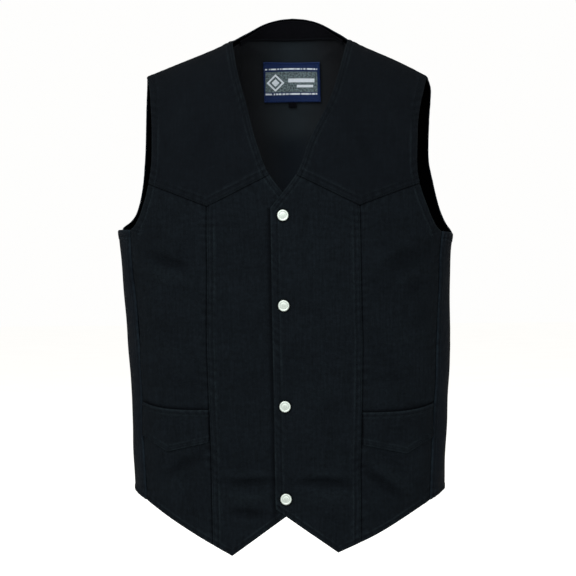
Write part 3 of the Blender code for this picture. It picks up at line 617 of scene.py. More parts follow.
def form(turn, z, out=0.0):
    """Points of the vest's outer face at turns from the centre front and heights, moved out by `out`.

    The depth closes towards the top line: y = top_y + (ring_y - top_y) * sin(pi/2 * drop/reach)^power.
    Outward is the ring's own normal low down and the top line's upward normal on the shoulder. The lean and
    the drop grow as |x share|^power. The slide falls off as exp(sharpness * (cos(turn from the seam) - 1)).
    """
    turn, z = np.broadcast_arrays(np.asarray(turn, float), np.asarray(z, float))
    turn = turn + at_height(HANG, "slide", z) * np.exp(SLIDE_SHARPNESS * (np.cos(turn - SLIDE_TURN) - 1))
    face = face_of(turn)
    front = face < 0
    half = at_height(BODY, "half_width", z)
    depth = np.where(front, at_height(BODY, "front_depth", z), at_height(BODY, "back_depth", z))
    share_x = ring_radius(turn) * np.sin(turn)
    share_y = ring_radius(turn) * np.abs(np.cos(turn))
    x = half * share_x + at_height(HANG, "lean", z) * np.abs(share_x) ** LEAN_POWER
    ring_y = depth * share_y

    top_z = np.where(front, top_line("front_z", x), top_line("back_z", x))
    top_y = np.where(front, 0.0, np.maximum(top_line("back_y", x), 0.0))
    neck = np.where(front, 0.0, ease((NECK_HALF_WIDTH - np.abs(x - neck_sway(x))) / NECK_BLEND))
    power = SHOULDER_CLOSING_POWER + (NECK_CLOSING_POWER - SHOULDER_CLOSING_POWER) * neck
    reach = np.where(front, FRONT_CLOSING_REACH, BACK_CLOSING_REACH)
    below_top = np.clip((top_z - z) / reach, 0.0, 1.0)
    closing = np.sin(math.pi / 2 * below_top) ** power
    y = top_y + (ring_y - top_y) * closing

    level = np.zeros_like(x)
    across = unit(np.stack([np.sign(x) * np.abs(share_x) ** (RING_POWER - 1) / half,
                            face * share_y ** (RING_POWER - 1) / depth, level], axis=-1))
    slope = (top_line("front_z", x + SLOPE_STEP) - top_line("front_z", x - SLOPE_STEP)) / (2 * SLOPE_STEP)
    upward = unit(np.stack([-slope, level, np.ones_like(x)], axis=-1))
    weight = np.maximum(closing ** OUTWARD_POWER, NECK_LEVEL * neck)[..., None]
    outward = unit(across * weight + upward * np.sqrt(1 - weight ** 2))

    fade = ease((top_z - z) / FOLD_FADE)
    drop = at_height(HANG, "drop", z) * np.sign(share_x) * np.abs(share_x) ** DROP_POWER
    points = np.stack([x, face * np.maximum(y, SEAM_GAP / 2), z - drop], axis=-1)
    height = out + (fold_height(x, z, face) + swell_height(turn, z)) * fade
    return points + outward * height[..., None]


def steps(length, start=True, end=True, coarse_step=None):
    """Shares 0 to 1 along a stretch of cloth: fine steps near the chosen ends, coarser ones between."""
    grid = bpy.context.scene.vest_grid
    coarse_step = coarse_step or grid.coarse_step
    count = int(round(grid.fine_band / grid.fine_step))
    head = count * grid.fine_step if start else 0.0
    tail = count * grid.fine_step if end else 0.0
    middle = length - head - tail
    if middle < coarse_step:
        return np.linspace(0, 1, int(math.ceil(length / grid.fine_step)) + 1)
    coarse = head + np.linspace(0, middle, int(math.ceil(middle / coarse_step)) + 1)
    fine = np.arange(1, count + 1) * grid.fine_step
    before = head - fine[::-1] if start else np.zeros(0)
    after = head + middle + fine if end else np.zeros(0)
    return np.concatenate([before, coarse, after]) / length


def two_stretches(first_length, second_length, first_step=None, second_step=None):
    """Shares along two stretches that follow each other: of the first, of the second and of both as one."""
    first = steps(first_length, end=False, coarse_step=first_step)
    second = steps(second_length, start=False, coarse_step=second_step)
    both = np.concatenate([first_length * first, first_length + second_length * second[1:]])
    return first, second, both / (first_length + second_length)


def span(start, end):
    """Straight distance between two (x, z) points."""
    return math.hypot(end[0] - start[0], end[1] - start[1])


def straight(start, end, shares):
    """Points at shares of a straight stretch in (x, z)."""
    return np.array(start) + (np.array(end) - np.array(start)) * shares[:, None]


def along_table(edge, z_start, z_end, shares, shift=0.0, column="x"):
    """Points at shares of the length of a table's curve of x by height, between two heights."""
    z = np.linspace(z_start, z_end, CURVE_POINTS)
    line = np.stack([at_height(edge, column, z), z], axis=-1)
    run = run_along(line)
    return read_along(run, line, shares * run[-1]) + (shift, 0.0)


def chain(first, second):
    """Edge made of two stretches that follow each other, their shared end kept once."""
    return np.vstack([first, second[1:]])


def bent(start, corner, end, coarse_step=None):
    """Edge of two straight stretches that meet at a corner: its points and their shares of its length."""
    first, second, shares = two_stretches(span(start, corner), span(corner, end), coarse_step)
    return chain(straight(start, corner, first), straight(corner, end, second)), shares


def patch(left, right, bottom, top, u, v):
    """Grid between four edges in (x, z): ruled across plus ruled upwards, less what the corners give.

    The bottom and the top edge take their corners from the left and the right one.
    """
    bottom[0], bottom[-1] = left[0], right[0]
    top[0], top[-1] = left[-1], right[-1]
    u, v = u[None, :, None], v[:, None, None]
    corners = ((1 - u) * (1 - v) * bottom[0] + u * (1 - v) * bottom[-1]
               + (1 - u) * v * top[0] + u * v * top[-1])
    sides = (1 - u) * left[:, None] + u * right[:, None]
    ends = (1 - v) * bottom[None] + v * top[None]
    return sides + ends - corners


def heights_between(bottom, top, v):
    """Heights of a grid whose columns run from a lower edge's heights to an upper edge's, at shares v."""
    return bottom[None, :] * (1 - v[:, None]) + top[None, :] * v[:, None]


def rise_shares(z_low, x, face):
    """Shares of height from z_low to the top line at x, stepped along the cloth over the shoulder."""
    shares = 1 - np.linspace(1, 0, CURVE_POINTS) ** TOP_CROWDING
    top_z = float(top_line("front_z" if face < 0 else "back_z", x))
    z = z_low + (top_z - z_low) * shares
    run = run_along(form(turn_of(np.full_like(z, x), z, face), z))
    return np.interp(steps(run[-1]) * run[-1], run, shares)


def lap_shift(x, side):
    """Rise of the left front over the centre, or sinking of the right front below it."""
    return side * LAP_SHIFT * (1 - ease((x - LAP_FLAT_X) / LAP_RAMP))


def border_view(grid, border, block=ALL):
    """View of a grid's block as lines that start on one border and run into the cloth."""
    part = grid[block]
    if border == "left":
        return part
    if border == "right":
        return part[:, ::-1]
    if border == "bottom":
        return part.swapaxes(0, 1)
    return part[::-1].swapaxes(0, 1)


class Panel:
    """One cut piece of cloth: a grid of turns and heights on the form, with the relief of its sewing."""

    def __init__(self, turn, z, base, thickness, flip=False, cells=None):
        self.turn, self.z = turn, z
        self.base = np.broadcast_to(base, z.shape)
        self.thickness = thickness
        self.flip = flip
        self.cells = np.ones((z.shape[0] - 1, z.shape[1] - 1), bool) if cells is None else cells
        self.plain = form(turn, z, self.base)
        self.strip = np.zeros(z.shape)
        self.relief = np.zeros(z.shape)
        folds = fold_height(self.plain[..., 0], z, face_of(turn))
        # Painted shade darkens the troughs of the folds, and their ridges are paler
        self.wear = np.where(folds < 0, TROUGH_SHADE, RIDGE_PALING) * np.clip(folds / FULL_FOLD, -1, 1)
        self.sewn = []

    def distances(self, border, block):
        """Distance of each point from a border, and the run along that border.

        The distance is measured along the grid's lines, times the sine of their angle with the border.
        """
        lines = border_view(self.plain, border, block)
        away = np.pad(np.cumsum(step_lengths(lines, 1), axis=1), ((0, 0), (1, 0)))
        edge = lines[:, 0]
        inward = unit(lines[:, min(INWARD_STEPS, lines.shape[1] - 1)] - edge)
        cosine = np.sum(unit(np.gradient(edge, axis=0)) * inward, axis=1)
        sine = np.sqrt(np.clip(1 - cosine ** 2, LEAST_SINE_SQUARED, 1.0))
        return away * sine[:, None], run_along(edge)

    def sew(self, border, kind, block=ALL, trim=(0.0, 0.0)):
        """Adds one sewn edge: strip, rolled edge, stitch grooves and slanting puckers by distance from it.

        Rubbing pales a folded edge, the ridge of its strip, the cloth inside each row and the crests of the
        puckers. Painted shade lies along the thread, and on an edge that is sewn under another one, where
        it also stands for dye that never fades.
        """
        seam = SEAMS[kind]
        away, run = self.distances(border, block)
        along = run[:, None]
        drift = PUCKER_DRIFT_TURN * np.sin(2 * math.pi * along / PUCKER_DRIFT)
        pucker = np.sin(2 * math.pi * along / PUCKER_SPACING + drift + PUCKER_SLANT * away)
        pucker *= PUCKER_MEAN + ripple(along, *PUCKER_SWELL)
        pucker *= band(away - PUCKER_PLACE * max(seam.strip, PUCKER_LEAST_STRIP), 1.0, PUCKER_WIDTH)
        patchy = RUB_MEAN + ripple(along, *RUB_SWELL, RUB_SHIFT * seam.strip) + ripple(along, *RUB_RIPPLE)
        relief = seam.pucker * pucker - seam.roll * np.clip(1 - away / seam.reach, 0, 1) ** 2
        if seam.rise:
            strip = border_view(self.strip, border, block)
            np.maximum(strip, seam.rise * (1 - ease((away - seam.strip) / STRIP_FALL)), out=strip)
            wear = patchy * (band(away, *EDGE_RUB) + band(away - seam.strip, *RIDGE_RUB))
        else:
            # Painted shade down in an edge sewn under another, also standing for dye that never fades there
            wear = -band(away, *DITCH_SHADE)
        if seam.pucker:
            wear += CREST_RUB * pucker
        for row in seam.rows:
            relief -= band(away - row, *GROOVE)
            # Rubbing just inside each row, and painted shade along its groove
            wear += patchy * band(away - row - ROW_RUB_STEP, *ROW_RUB) - band(away - row, *ROW_SHADE)
            self.sewn.append((border, block, row, trim))
        border_view(self.relief, border, block)[...] += relief
        border_view(self.wear, border, block)[...] += wear

    def outer(self):
        """Outer face: the form moved out by the strips and the relief."""
        return form(self.turn, self.z, self.base + self.strip + self.relief)

    def inner(self):
        """Inner face, one thickness below the outer one, where the strips show less."""
        return form(self.turn, self.z, self.base + self.strip * INSIDE_STRIP + self.relief - self.thickness)

    def normals(self, points):
        """Outward normal of the grid: right cross up."""
        normal = unit(np.cross(np.gradient(points, axis=1), np.gradient(points, axis=0)))
        return -normal if self.flip else normal

    def stitch_rows(self):
        """Points and normals of every stitch row, read off the outer face at the row's distance."""
        points = self.outer()
        normal = self.normals(points)
        rows = []
        for border, block, distance, trim in self.sewn:
            away, run = self.distances(border, block)
            lines = border_view(points, border, block)
            normals = border_view(normal, border, block)
            keep = (away[:, -1] > distance) & (run >= trim[0]) & (run <= run[-1] - trim[1])
            after = np.argmax(away > distance, axis=1)
            line = np.arange(len(lines))
            low = away[line, after - 1]
            share = ((distance - low) / (away[line, after] - low + TINY))[:, None]
            place = lines[line, after - 1] * (1 - share) + lines[line, after] * share
            rows.append((place[keep], normals[line, after][keep]))
        return rows

    def uv(self):
        """Cloth coordinates in metres: along the cloth from the first column's x and the first row's z."""
        across = np.pad(np.cumsum(step_lengths(self.plain, 1), axis=1), ((0, 0), (1, 0)))
        up = np.pad(np.cumsum(step_lengths(self.plain, 0), axis=0), ((1, 0), (0, 0)))
        u = self.plain[:, :1, 0] + (-across if self.flip else across)
        return np.stack([u, up + self.z[:1]], axis=-1)

    def flat_size(self):
        """Width, length and area of the cut piece, measured along the cloth."""
        cells = self.cells
        on_rows = np.vstack([cells, cells[-1:]]) | np.vstack([cells[:1], cells])
        on_columns = np.hstack([cells, cells[:, -1:]]) | np.hstack([cells[:, :1], cells])
        width = float((step_lengths(self.plain, 1) * on_rows).sum(axis=1).max())
        length = float((step_lengths(self.plain, 0) * on_columns).sum(axis=0).max())
        rising = self.plain[1:, 1:] - self.plain[:-1, :-1]
        falling = self.plain[1:, :-1] - self.plain[:-1, 1:]
        area = np.linalg.norm(np.cross(rising, falling), axis=2) / 2
        return width, length, float((area * cells).sum())


def shell(panel):
    """Closed shell of a panel: outer face, inner face and a rounded rim.

    The rim has one row between the faces, halfway down and pushed out by a part of the thickness.
    Returns points, four-cornered faces, which faces are inner ones, cloth coordinates, and rubbing with
    painted shade.
    """
    outer, inner, cells = panel.outer(), panel.inner(), panel.cells
    rows, columns = panel.z.shape
    index = np.arange(rows * columns).reshape(rows, columns)
    row, column = np.nonzero(cells)
    corner = np.stack([index[row, column], index[row, column + 1],
                       index[row + 1, column + 1], index[row + 1, column]], axis=1)
    flat_outer, flat_inner = outer.reshape(-1, 3), inner.reshape(-1, 3)
    centre = flat_outer[corner].mean(axis=1)
    framed = np.pad(cells, 1)
    starts, ends, push = [], [], []
    for (down, right), (first, second) in zip(((-1, 0), (0, 1), (1, 0), (0, -1)),
                                              ((0, 1), (1, 2), (2, 3), (3, 0))):
        bare = ~framed[1 + row + down, 1 + column + right]
        starts.append(corner[bare, first])
        ends.append(corner[bare, second])
        push.append((flat_outer[starts[-1]] + flat_outer[ends[-1]]) / 2 - centre[bare])
    starts, ends, push = np.concatenate(starts), np.concatenate(ends), np.vstack(push)
    rim, place = np.unique(np.concatenate([starts, ends]), return_inverse=True)
    away = np.zeros((len(rim), 3))
    np.add.at(away, place, np.vstack([push, push]))
    middle = (flat_outer[rim] + flat_inner[rim]) / 2 + unit(away) * panel.thickness * RIM_BULGE
    count = rows * columns
    mid_start, mid_end = 2 * count + place[:len(starts)], 2 * count + place[len(starts):]
    faces = np.vstack([corner,
                       np.stack([ends, starts, mid_start, mid_end], axis=1),
                       np.stack([mid_end, mid_start, starts + count, ends + count], axis=1),
                       corner[:, ::-1] + count])
    inside = np.zeros(len(faces), bool)
    inside[-len(corner):] = True
    points = np.vstack([flat_outer, flat_inner, middle])
    uv = panel.uv().reshape(-1, 2)
    uv = np.vstack([uv, uv, uv[rim]])
    wear = panel.wear.ravel()
    wear = np.concatenate([wear, 0 * wear, wear[rim]])
    used, faces = np.unique(faces, return_inverse=True)
    faces = faces.reshape(-1, 4)
    return points[used], faces[:, ::-1] if panel.flip else faces, inside, uv[used], wear[used]


def add_mesh(name, points, face_groups, materials, uv=None, wear=None, slots=None):
    """Object at the origin from whole arrays of points and faces, shaded smooth."""
    mesh = bpy.data.meshes.new(name)
    corners = np.concatenate([faces.ravel() for faces in face_groups]).astype(np.int32)
    sizes = np.concatenate([np.full(len(faces), faces.shape[1]) for faces in face_groups])
    mesh.vertices.add(len(points))
    mesh.vertices.foreach_set("co", np.asarray(points, np.float32).ravel())
    mesh.loops.add(len(corners))
    mesh.loops.foreach_set("vertex_index", corners)
    mesh.polygons.add(len(sizes))
    mesh.polygons.foreach_set("loop_start", np.concatenate([[0], np.cumsum(sizes)[:-1]]).astype(np.int32))
    for made in materials:
        mesh.materials.append(made)
    if slots is not None:
        mesh.polygons.foreach_set("material_index", np.asarray(slots, np.int32))
    mesh.update(calc_edges=True)
    if uv is not None:
        layer = mesh.uv_layers.new(name="cloth")
        layer.uv.foreach_set("vector", np.asarray(uv, np.float32)[corners].ravel())
    if wear is not None:
        attribute = mesh.attributes.new("wear", "FLOAT", "POINT")
        attribute.data.foreach_set("value", np.asarray(wear, np.float32))
    mesh.shade_smooth()
    piece = bpy.data.objects.new(name, mesh)
    bpy.context.scene.collection.objects.link(piece)
    return piece


def stitch_arrays(rows, pitch, length, width, seed):
    """Thread stitches along rows: each is a short arched bead whose ends sink into the cloth.

    A bead has six-sided sections at shares of its length; section radius and lift follow BEAD.
    """
    draw = np.random.default_rng(seed)
    centres, tangents, normals = [], [], []
    for points, normal in rows:
        run = run_along(points)
        count = int(run[-1] / pitch)
        if count < 1:
            continue
        stray = draw.uniform(-STITCH_STRAY, STITCH_STRAY, count) * pitch
        middle = (np.arange(count) + 0.5) * run[-1] / count + stray
        ahead = read_along(run, points, middle + length / 2)
        behind = read_along(run, points, middle - length / 2)
        centres.append((ahead + behind) / 2)
        tangents.append(ahead - behind)
        normals.append(read_along(run, normal, middle))
    centre, tangent, normal = np.vstack(centres), unit(np.vstack(tangents)), np.vstack(normals)
    side = unit(np.cross(normal, tangent))
    tangent = tangent + side * draw.uniform(-STITCH_SKEW, STITCH_SKEW, len(centre))[:, None]
    normal = unit(np.cross(tangent, side))
    angle = np.arange(BEAD_CORNERS) * 2 * math.pi / BEAD_CORNERS
    share, radius, lift = BEAD.values()
    ring = (side[:, None, None] * np.cos(angle)[None, None, :, None]
            + normal[:, None, None] * (BEAD_FLATNESS * np.sin(angle))[None, None, :, None])
    points = (centre[:, None, None]
              + tangent[:, None, None] * (share * length)[None, :, None, None]
              + normal[:, None, None] * (lift * width)[None, :, None, None]
              + ring * (radius * width / 2)[None, :, None, None])
    sections, corners = len(share), BEAD_CORNERS
    start = (np.arange(len(centre)) * sections * corners)[:, None, None]
    section, corner = np.meshgrid(np.arange(sections - 1), np.arange(corners), indexing="ij")
    following = (corner + 1) % corners
    low, high = section * corners, (section + 1) * corners
    quads = np.stack([low + corner, low + following, high + following, high + corner], axis=-1)
    quads = quads.reshape(-1, 4)
    caps = np.stack([np.arange(corners)[::-1], (sections - 1) * corners + np.arange(corners)])
    uv = np.stack(np.meshgrid(share, np.arange(corners) / corners, indexing="ij"), axis=-1).reshape(-1, 2)
    faces = [(quads[None] + start).reshape(-1, 4), (caps[None] + start).reshape(-1, corners)]
    return points.reshape(-1, 3), faces, np.tile(uv, (len(centre), 1))


def revolve(profile, segments):
    """Turned surface about z: profile rows (radius, height, painted shine) swept round, both ends on the
    axis.
    """
    angle = np.linspace(0, 2 * math.pi, segments, endpoint=False)
    radius, height, painted_shine = profile[1:-1].T
    ring = np.stack([radius[:, None] * np.cos(angle), radius[:, None] * np.sin(angle),
                     np.broadcast_to(height[:, None], (len(radius), segments))], axis=-1).reshape(-1, 3)
    points = np.vstack([[0, 0, profile[0, 1]], ring, [0, 0, profile[-1, 1]]])
    index = 1 + np.arange(len(radius) * segments).reshape(-1, segments)
    following = np.roll(index, -1, axis=1)
    quads = np.stack([index[:-1], following[:-1], following[1:], index[1:]], axis=-1).reshape(-1, 4)
    bottom = np.stack([np.zeros(segments, int), following[0], index[0]], axis=1)
    top = np.stack([index[-1], following[-1], np.full(segments, len(points) - 1)], axis=1)
    painted_shine = np.concatenate([profile[:1, 2], np.repeat(painted_shine, segments), profile[-1:, 2]])
    return points, [quads, np.vstack([bottom, top])], painted_shine


def number(name, description, default, kind="LENGTH"):
    """Number that a user may change: a length unless another kind is named."""
    return FloatProperty(name=name, description=description, default=default, unit=kind, precision=5)


def colour(name, description, default):
    """Linear colour that a user may change."""
    return FloatVectorProperty(name=name, description=description, default=default, size=3, subtype="COLOR",
                               min=0.0, max=1.0)


class VestGrid(bpy.types.PropertyGroup):
    """How finely the cloth is divided, and the sewing thread."""
    fine_step: number("Fine step", "Grid step beside the edges of a panel", 0.0011)
    fine_band: number("Fine band", "Width beside an edge that has fine steps", 0.0121)
    coarse_step: number("Coarse step", "Grid step in the middle of a panel", 0.0036)
    front_step: number("Front step", "Grid step in the middle of the fronts", 0.0018)
    stitch_pitch: number("Stitch pitch", "Distance from stitch to stitch", 0.0034)
    stitch_length: number("Stitch length", "Length of thread that shows in a stitch", 0.0028)
    thread_width: number("Thread width", "Width of the topstitching thread", 0.00075)


class VestCloth(bpy.types.PropertyGroup):
    """Thicknesses of the cloths and the size of the snaps."""
    denim: number("Denim", "Thickness of the denim", 0.0018)
    welt: number("Welt", "Thickness of a pocket welt", 0.0014)
    lining: number("Lining", "Thickness of lining, facing and label", 0.0010)
    snap_radius: number("Snap radius", "Radius of a snap's cap", 0.0075)
    twill_pitch: number("Twill pitch", "Distance between the denim's diagonal ribs", 0.0012)


class VestColours(bpy.types.PropertyGroup):
    """Colours of the cloths, the threads and the metal."""
    denim: colour("Denim", "Body of the blue-black denim", (0.00153, 0.00225, 0.00302))
    # Colour of the painted shade on the denim, which in the seams also stands for dye that never fades
    unfaded_and_painted_shade: colour("Seam ditch", "Denim that never fades, down in the seams", (0.00030, 0.00042, 0.00070))
    worn: colour("Worn denim", "Denim rubbed paler along its edges", (0.0034, 0.0052, 0.0063))
    # The inside colour is painted shade: near-black for the deep shade inside the armholes and the vest
    inside: colour("Inside", "Black inside of the panels", (0.0002, 0.0002, 0.0003))
    thread: colour("Thread", "Topstitching thread", (0.0022, 0.0033, 0.0042))
    # The three lining colours paint light and shade: a painted pool of light round the label, then painted
    # shade beside it and far below it
    lining: colour("Lining", "Dark grey lining, pressed paler round the label", (0.0051, 0.0071, 0.0086))
    lining_painted_shade: colour("Lining sides", "Browner lining beside the label", (0.0038, 0.0041, 0.0047))
    lining_painted_shade_low: colour("Lining depth", "Bluer lining far below the label", (0.0022, 0.0034, 0.0049))
    # The facing colour is the facing's black cloth darkened further as painted shade where the neck's shade
    # falls on it
    facing: colour("Facing", "Black neck facing", (0.00042, 0.00050, 0.00100))
    label_border: colour("Label border", "Navy border of the woven label", (0.0010, 0.0060, 0.0290))
    label_field: colour("Label field", "Grey field of the woven label", (0.0396, 0.0546, 0.0594))
    label_pale: colour("Label weft", "Pale weft of the label's plain bars", (0.3000, 0.3300, 0.3600))
    nickel: colour("Nickel", "Bright metal of the snaps", (0.284, 0.316, 0.290))


class VestStudio(bpy.types.PropertyGroup):
    """Camera, floor and lights."""
    camera_distance: number("Camera distance", "From the middle of the vest", 3.132)
    camera_azimuth: number("Azimuth", "Turn to the wearer's left", math.radians(2.5), "ROTATION")
    camera_roll: number("Roll", "Turn of the picture", math.radians(-0.5), "ROTATION")
    camera_lens: number("Lens", "Focal length in millimetres on a 36 mm sensor", 144.23, "NONE")
    look_height: number("Look height", "Height that the camera looks at", -0.33605)
    floor_height: number("Floor height", "Height of the floor below the vest", -0.86)
    key_power: number("Key light", "Power of the large soft light above on the left", 312.0, "POWER")
    fill_power: number("Fill light", "Power of the light on the other side", 60.0, "POWER")
    front_power: number("Front light", "Power of the light beside the camera", 40.0, "POWER")


def node_group(name, vector, values, results):
    """Empty shader node group with one vector input, and named float inputs and outputs."""
    tree = bpy.data.node_groups.new(name, "ShaderNodeTree")
    tree.interface.new_socket(name=vector, in_out="INPUT", socket_type="NodeSocketVector")
    for label in values:
        tree.interface.new_socket(name=label, in_out="INPUT", socket_type="NodeSocketFloat")
    for label in results:
        tree.interface.new_socket(name=label, in_out="OUTPUT", socket_type="NodeSocketFloat")
    return tree, tree.nodes.new("NodeGroupInput").outputs, tree.nodes.new("NodeGroupOutput").inputs


def feed(tree, socket, value):
    """Joins another node's output to a socket, or sets the socket's own value."""
    if isinstance(value, bpy.types.NodeSocket):
        tree.links.new(value, socket)
    else:
        socket.default_value = value


def calculate(tree, operation, *values):
    """Math node of one, two or three values; returns its output."""
    node = tree.nodes.new("ShaderNodeMath")
    node.operation = operation
    for socket, value in zip(node.inputs, values):
        feed(tree, socket, value)
    return node.outputs[0]


def remap(tree, value, low, high):
    """Value from 0 to 1 moved to a range."""
    return calculate(tree, "MULTIPLY_ADD", value, high - low, low)


def clamped(tree, value):
    """Value kept from 0 to 1."""
    return calculate(tree, "MINIMUM", calculate(tree, "MAXIMUM", value, 0.0), 1.0)


def wave(tree, value, rate):
    """Sine of a value times a rate."""
    return calculate(tree, "SINE", calculate(tree, "MULTIPLY", value, rate))


def split(tree, vector):
    """Outputs X, Y and Z of a vector."""
    node = tree.nodes.new("ShaderNodeSeparateXYZ")
    tree.links.new(vector, node.inputs[0])
    return node.outputs


def noise(tree, vector, scale, detail, stretch=(1.0, 1.0, 1.0)):
    """Noise texture on coordinates that are stretched by a Mapping node; returns its value."""
    mapping = tree.nodes.new("ShaderNodeMapping")
    feed(tree, mapping.inputs["Vector"], vector)
    mapping.inputs["Scale"].default_value = stretch
    texture = tree.nodes.new("ShaderNodeTexNoise")
    feed(tree, texture.inputs["Vector"], mapping.outputs["Vector"])
    texture.inputs["Scale"].default_value = scale
    texture.inputs["Detail"].default_value = detail
    return texture.outputs["Fac"]


def blend_colours(tree, share, first, second, blend="MIX"):
    """Colour mix of two colours or colour outputs."""
    node = tree.nodes.new("ShaderNodeMix")
    node.data_type = "RGBA"
    node.blend_type = blend
    feed(tree, node.inputs["Factor"], share)
    feed(tree, node.inputs["A"], first)
    feed(tree, node.inputs["B"], second)
    return node.outputs["Result"]


def opaque(tint, factor=1.0):
    """Colour with full alpha, made lighter or darker."""
    return (tint[0] * factor, tint[1] * factor, tint[2] * factor, 1.0)


def shades(tree, share, tint, dark, pale):
    """Colour between a dark and a pale shade of itself."""
    return blend_colours(tree, share, opaque(tint, dark), opaque(tint, pale))


def mottled(tree, tint, value, depth):
    """Colour times a value from 0 to 1 that is moved to 1 - depth and 1 + depth."""
    return blend_colours(tree, 1.0, tint, remap(tree, value, 1 - depth, 1 + depth), "MULTIPLY")


def weave_group():
    """Shared weave: ribs sin(2 pi (u + slant v) / pitch) over the yarns, and slub streaks up the cloth."""
    tree, inputs, outputs = node_group("woven_cloth", "Cloth", ("Pitch", "Twill"), ("Height", "Streak"))
    apart = split(tree, inputs["Cloth"])
    turns = calculate(tree, "DIVIDE", 2 * math.pi, inputs["Pitch"])
    yarns = calculate(tree, "MULTIPLY", turns, YARNS_PER_RIB)
    plain = calculate(tree, "ADD", wave(tree, apart["X"], yarns), wave(tree, apart["Y"], yarns))
    plain = calculate(tree, "MULTIPLY", plain, YARN_HEIGHT)
    rib = wave(tree, calculate(tree, "MULTIPLY_ADD", apart["Y"], RIB_SLANT, apart["X"]), turns)
    rib = calculate(tree, "MULTIPLY", rib, RIB_HEIGHT)
    height = calculate(tree, "MULTIPLY_ADD", rib, inputs["Twill"], plain)
    fuzz = noise(tree, inputs["Cloth"], scale=1500.0, detail=2.0)
    tree.links.new(calculate(tree, "MULTIPLY_ADD", fuzz, FUZZ_HEIGHT, height), outputs["Height"])
    streak = noise(tree, inputs["Cloth"], scale=1.0, detail=3.0, stretch=(420.0, 26.0, 1.0))
    tree.links.new(streak, outputs["Streak"])
    return tree


def mottle_group():
    """Shared mottle for uneven dye and rubbing: broad clouds, fine grain and smudges along the weft."""
    tree, inputs, outputs = node_group("uneven_dye", "Place", (), MOTTLES)
    for label, (scale, detail, up) in MOTTLES.items():
        tree.links.new(noise(tree, inputs["Place"], scale, detail, (1.0, 1.0, up)), outputs[label])
    return tree


def use_group(tree, name, maker, **values):
    """Places a shared group, made once, in a material with its own values; returns its outputs."""
    node = tree.nodes.new("ShaderNodeGroup")
    node.node_tree = bpy.data.node_groups.get(name) or maker()
    for label, value in values.items():
        feed(tree, node.inputs[label], value)
    return node.outputs


def woven(tree, places, pitch, twill):
    """Outputs of the shared weave on a material's cloth coordinates."""
    return use_group(tree, "woven_cloth", weave_group, Cloth=places["UV"], Pitch=pitch, Twill=twill)


def dyed(tree, places):
    """Outputs of the shared mottle at a material's place on the vest."""
    return use_group(tree, "uneven_dye", mottle_group, Place=places["Object"])


def wear_and_shading_mask(tree):
    """Output of the points' rubbing and painted shade, which on metal is their painted shine and shade."""
    node = tree.nodes.new("ShaderNodeAttribute")
    node.attribute_name = "wear"
    return node.outputs["Fac"]


def new_material(name):
    """Material with its tree, its Principled shader and its outputs for cloth coordinates and place."""
    made = bpy.data.materials.new(name)
    made.use_nodes = True
    tree = made.node_tree
    return made, tree, tree.nodes["Principled BSDF"], tree.nodes.new("ShaderNodeTexCoord").outputs


def finish(tree, shader, tint, roughness, height, specular, strength, distance):
    """Joins colour, roughness and bump to a shader, and sets its specular level and the bump's size."""
    feed(tree, shader.inputs["Base Color"], tint)
    feed(tree, shader.inputs["Roughness"], roughness)
    shader.inputs["Specular IOR Level"].default_value = specular
    bump = tree.nodes.new("ShaderNodeBump")
    bump.inputs["Strength"].default_value = strength
    bump.inputs["Distance"].default_value = distance
    tree.links.new(height, bump.inputs["Height"])
    tree.links.new(bump.outputs["Normal"], shader.inputs["Normal"])


def denim_material(name):
    """Blue-black denim: twill bump, slub streaks and uneven dye, rubbed on edges, and darkened by painted
    shade in the seams (where it also stands for unfaded dye), in fold troughs and beside the lap, pockets
    and snaps.
    """
    colours, cloth = bpy.context.scene.vest_colours, bpy.context.scene.vest_cloth
    tone, unevenness = DENIMS[name]
    made, tree, shader, places = new_material(name)
    weave = woven(tree, places, pitch=cloth.twill_pitch, twill=1.0)
    dye, wear = dyed(tree, places), wear_and_shading_mask(tree)
    tint = opaque(np.multiply(colours.denim, tone))
    mottles = ((dye["Broad"], 0.25), (weave["Streak"], 0.40), (dye["Fine"], 0.45), (dye["Weft"], 0.25))
    for value, depth in mottles:
        tint = mottled(tree, tint, value, depth * unevenness)
    rubbed = calculate(tree, "MULTIPLY", wear, remap(tree, dye["Fine"], low=-0.5, high=2.3))
    tint = blend_colours(tree, clamped(tree, rubbed), tint, opaque(np.multiply(colours.worn, tone)))
    # Painted shade: the negative part of the points' values darkens the denim towards the shade colour
    sunk = calculate(tree, "MULTIPLY", wear, -1.0)
    tint = blend_colours(tree, clamped(tree, sunk), tint, opaque(colours.unfaded_and_painted_shade))
    finish(tree, shader, tint, remap(tree, dye["Fine"], low=0.82, high=0.96), weave["Height"],
           specular=0.015, strength=0.45, distance=0.0004)
    return made


def inside_material(name):
    """Near-black inside of the panels, painted shade for the deep shade inside the vest: plain weave, no
    sheen.
    """
    made, tree, shader, places = new_material(name)
    weave = woven(tree, places, pitch=0.0010, twill=0.3)
    tint = shades(tree, weave["Streak"], bpy.context.scene.vest_colours.inside, dark=0.7, pale=1.3)
    finish(tree, shader, tint, roughness=0.95, height=weave["Height"],
           specular=0.0, strength=0.3, distance=0.0003)
    return made


def facing_material(name):
    """Black facing of the neck, darkened further as painted shade for the shade it sits in, and the small
    tab.
    """
    made, tree, shader, places = new_material(name)
    weave, dye = woven(tree, places, pitch=0.0010, twill=0.6), dyed(tree, places)
    tint = shades(tree, dye["Broad"], bpy.context.scene.vest_colours.facing, dark=0.6, pale=1.5)
    finish(tree, shader, tint, remap(tree, dye["Fine"], low=0.85, high=0.97), weave["Height"],
           specular=0.04, strength=0.35, distance=0.0003)
    return made


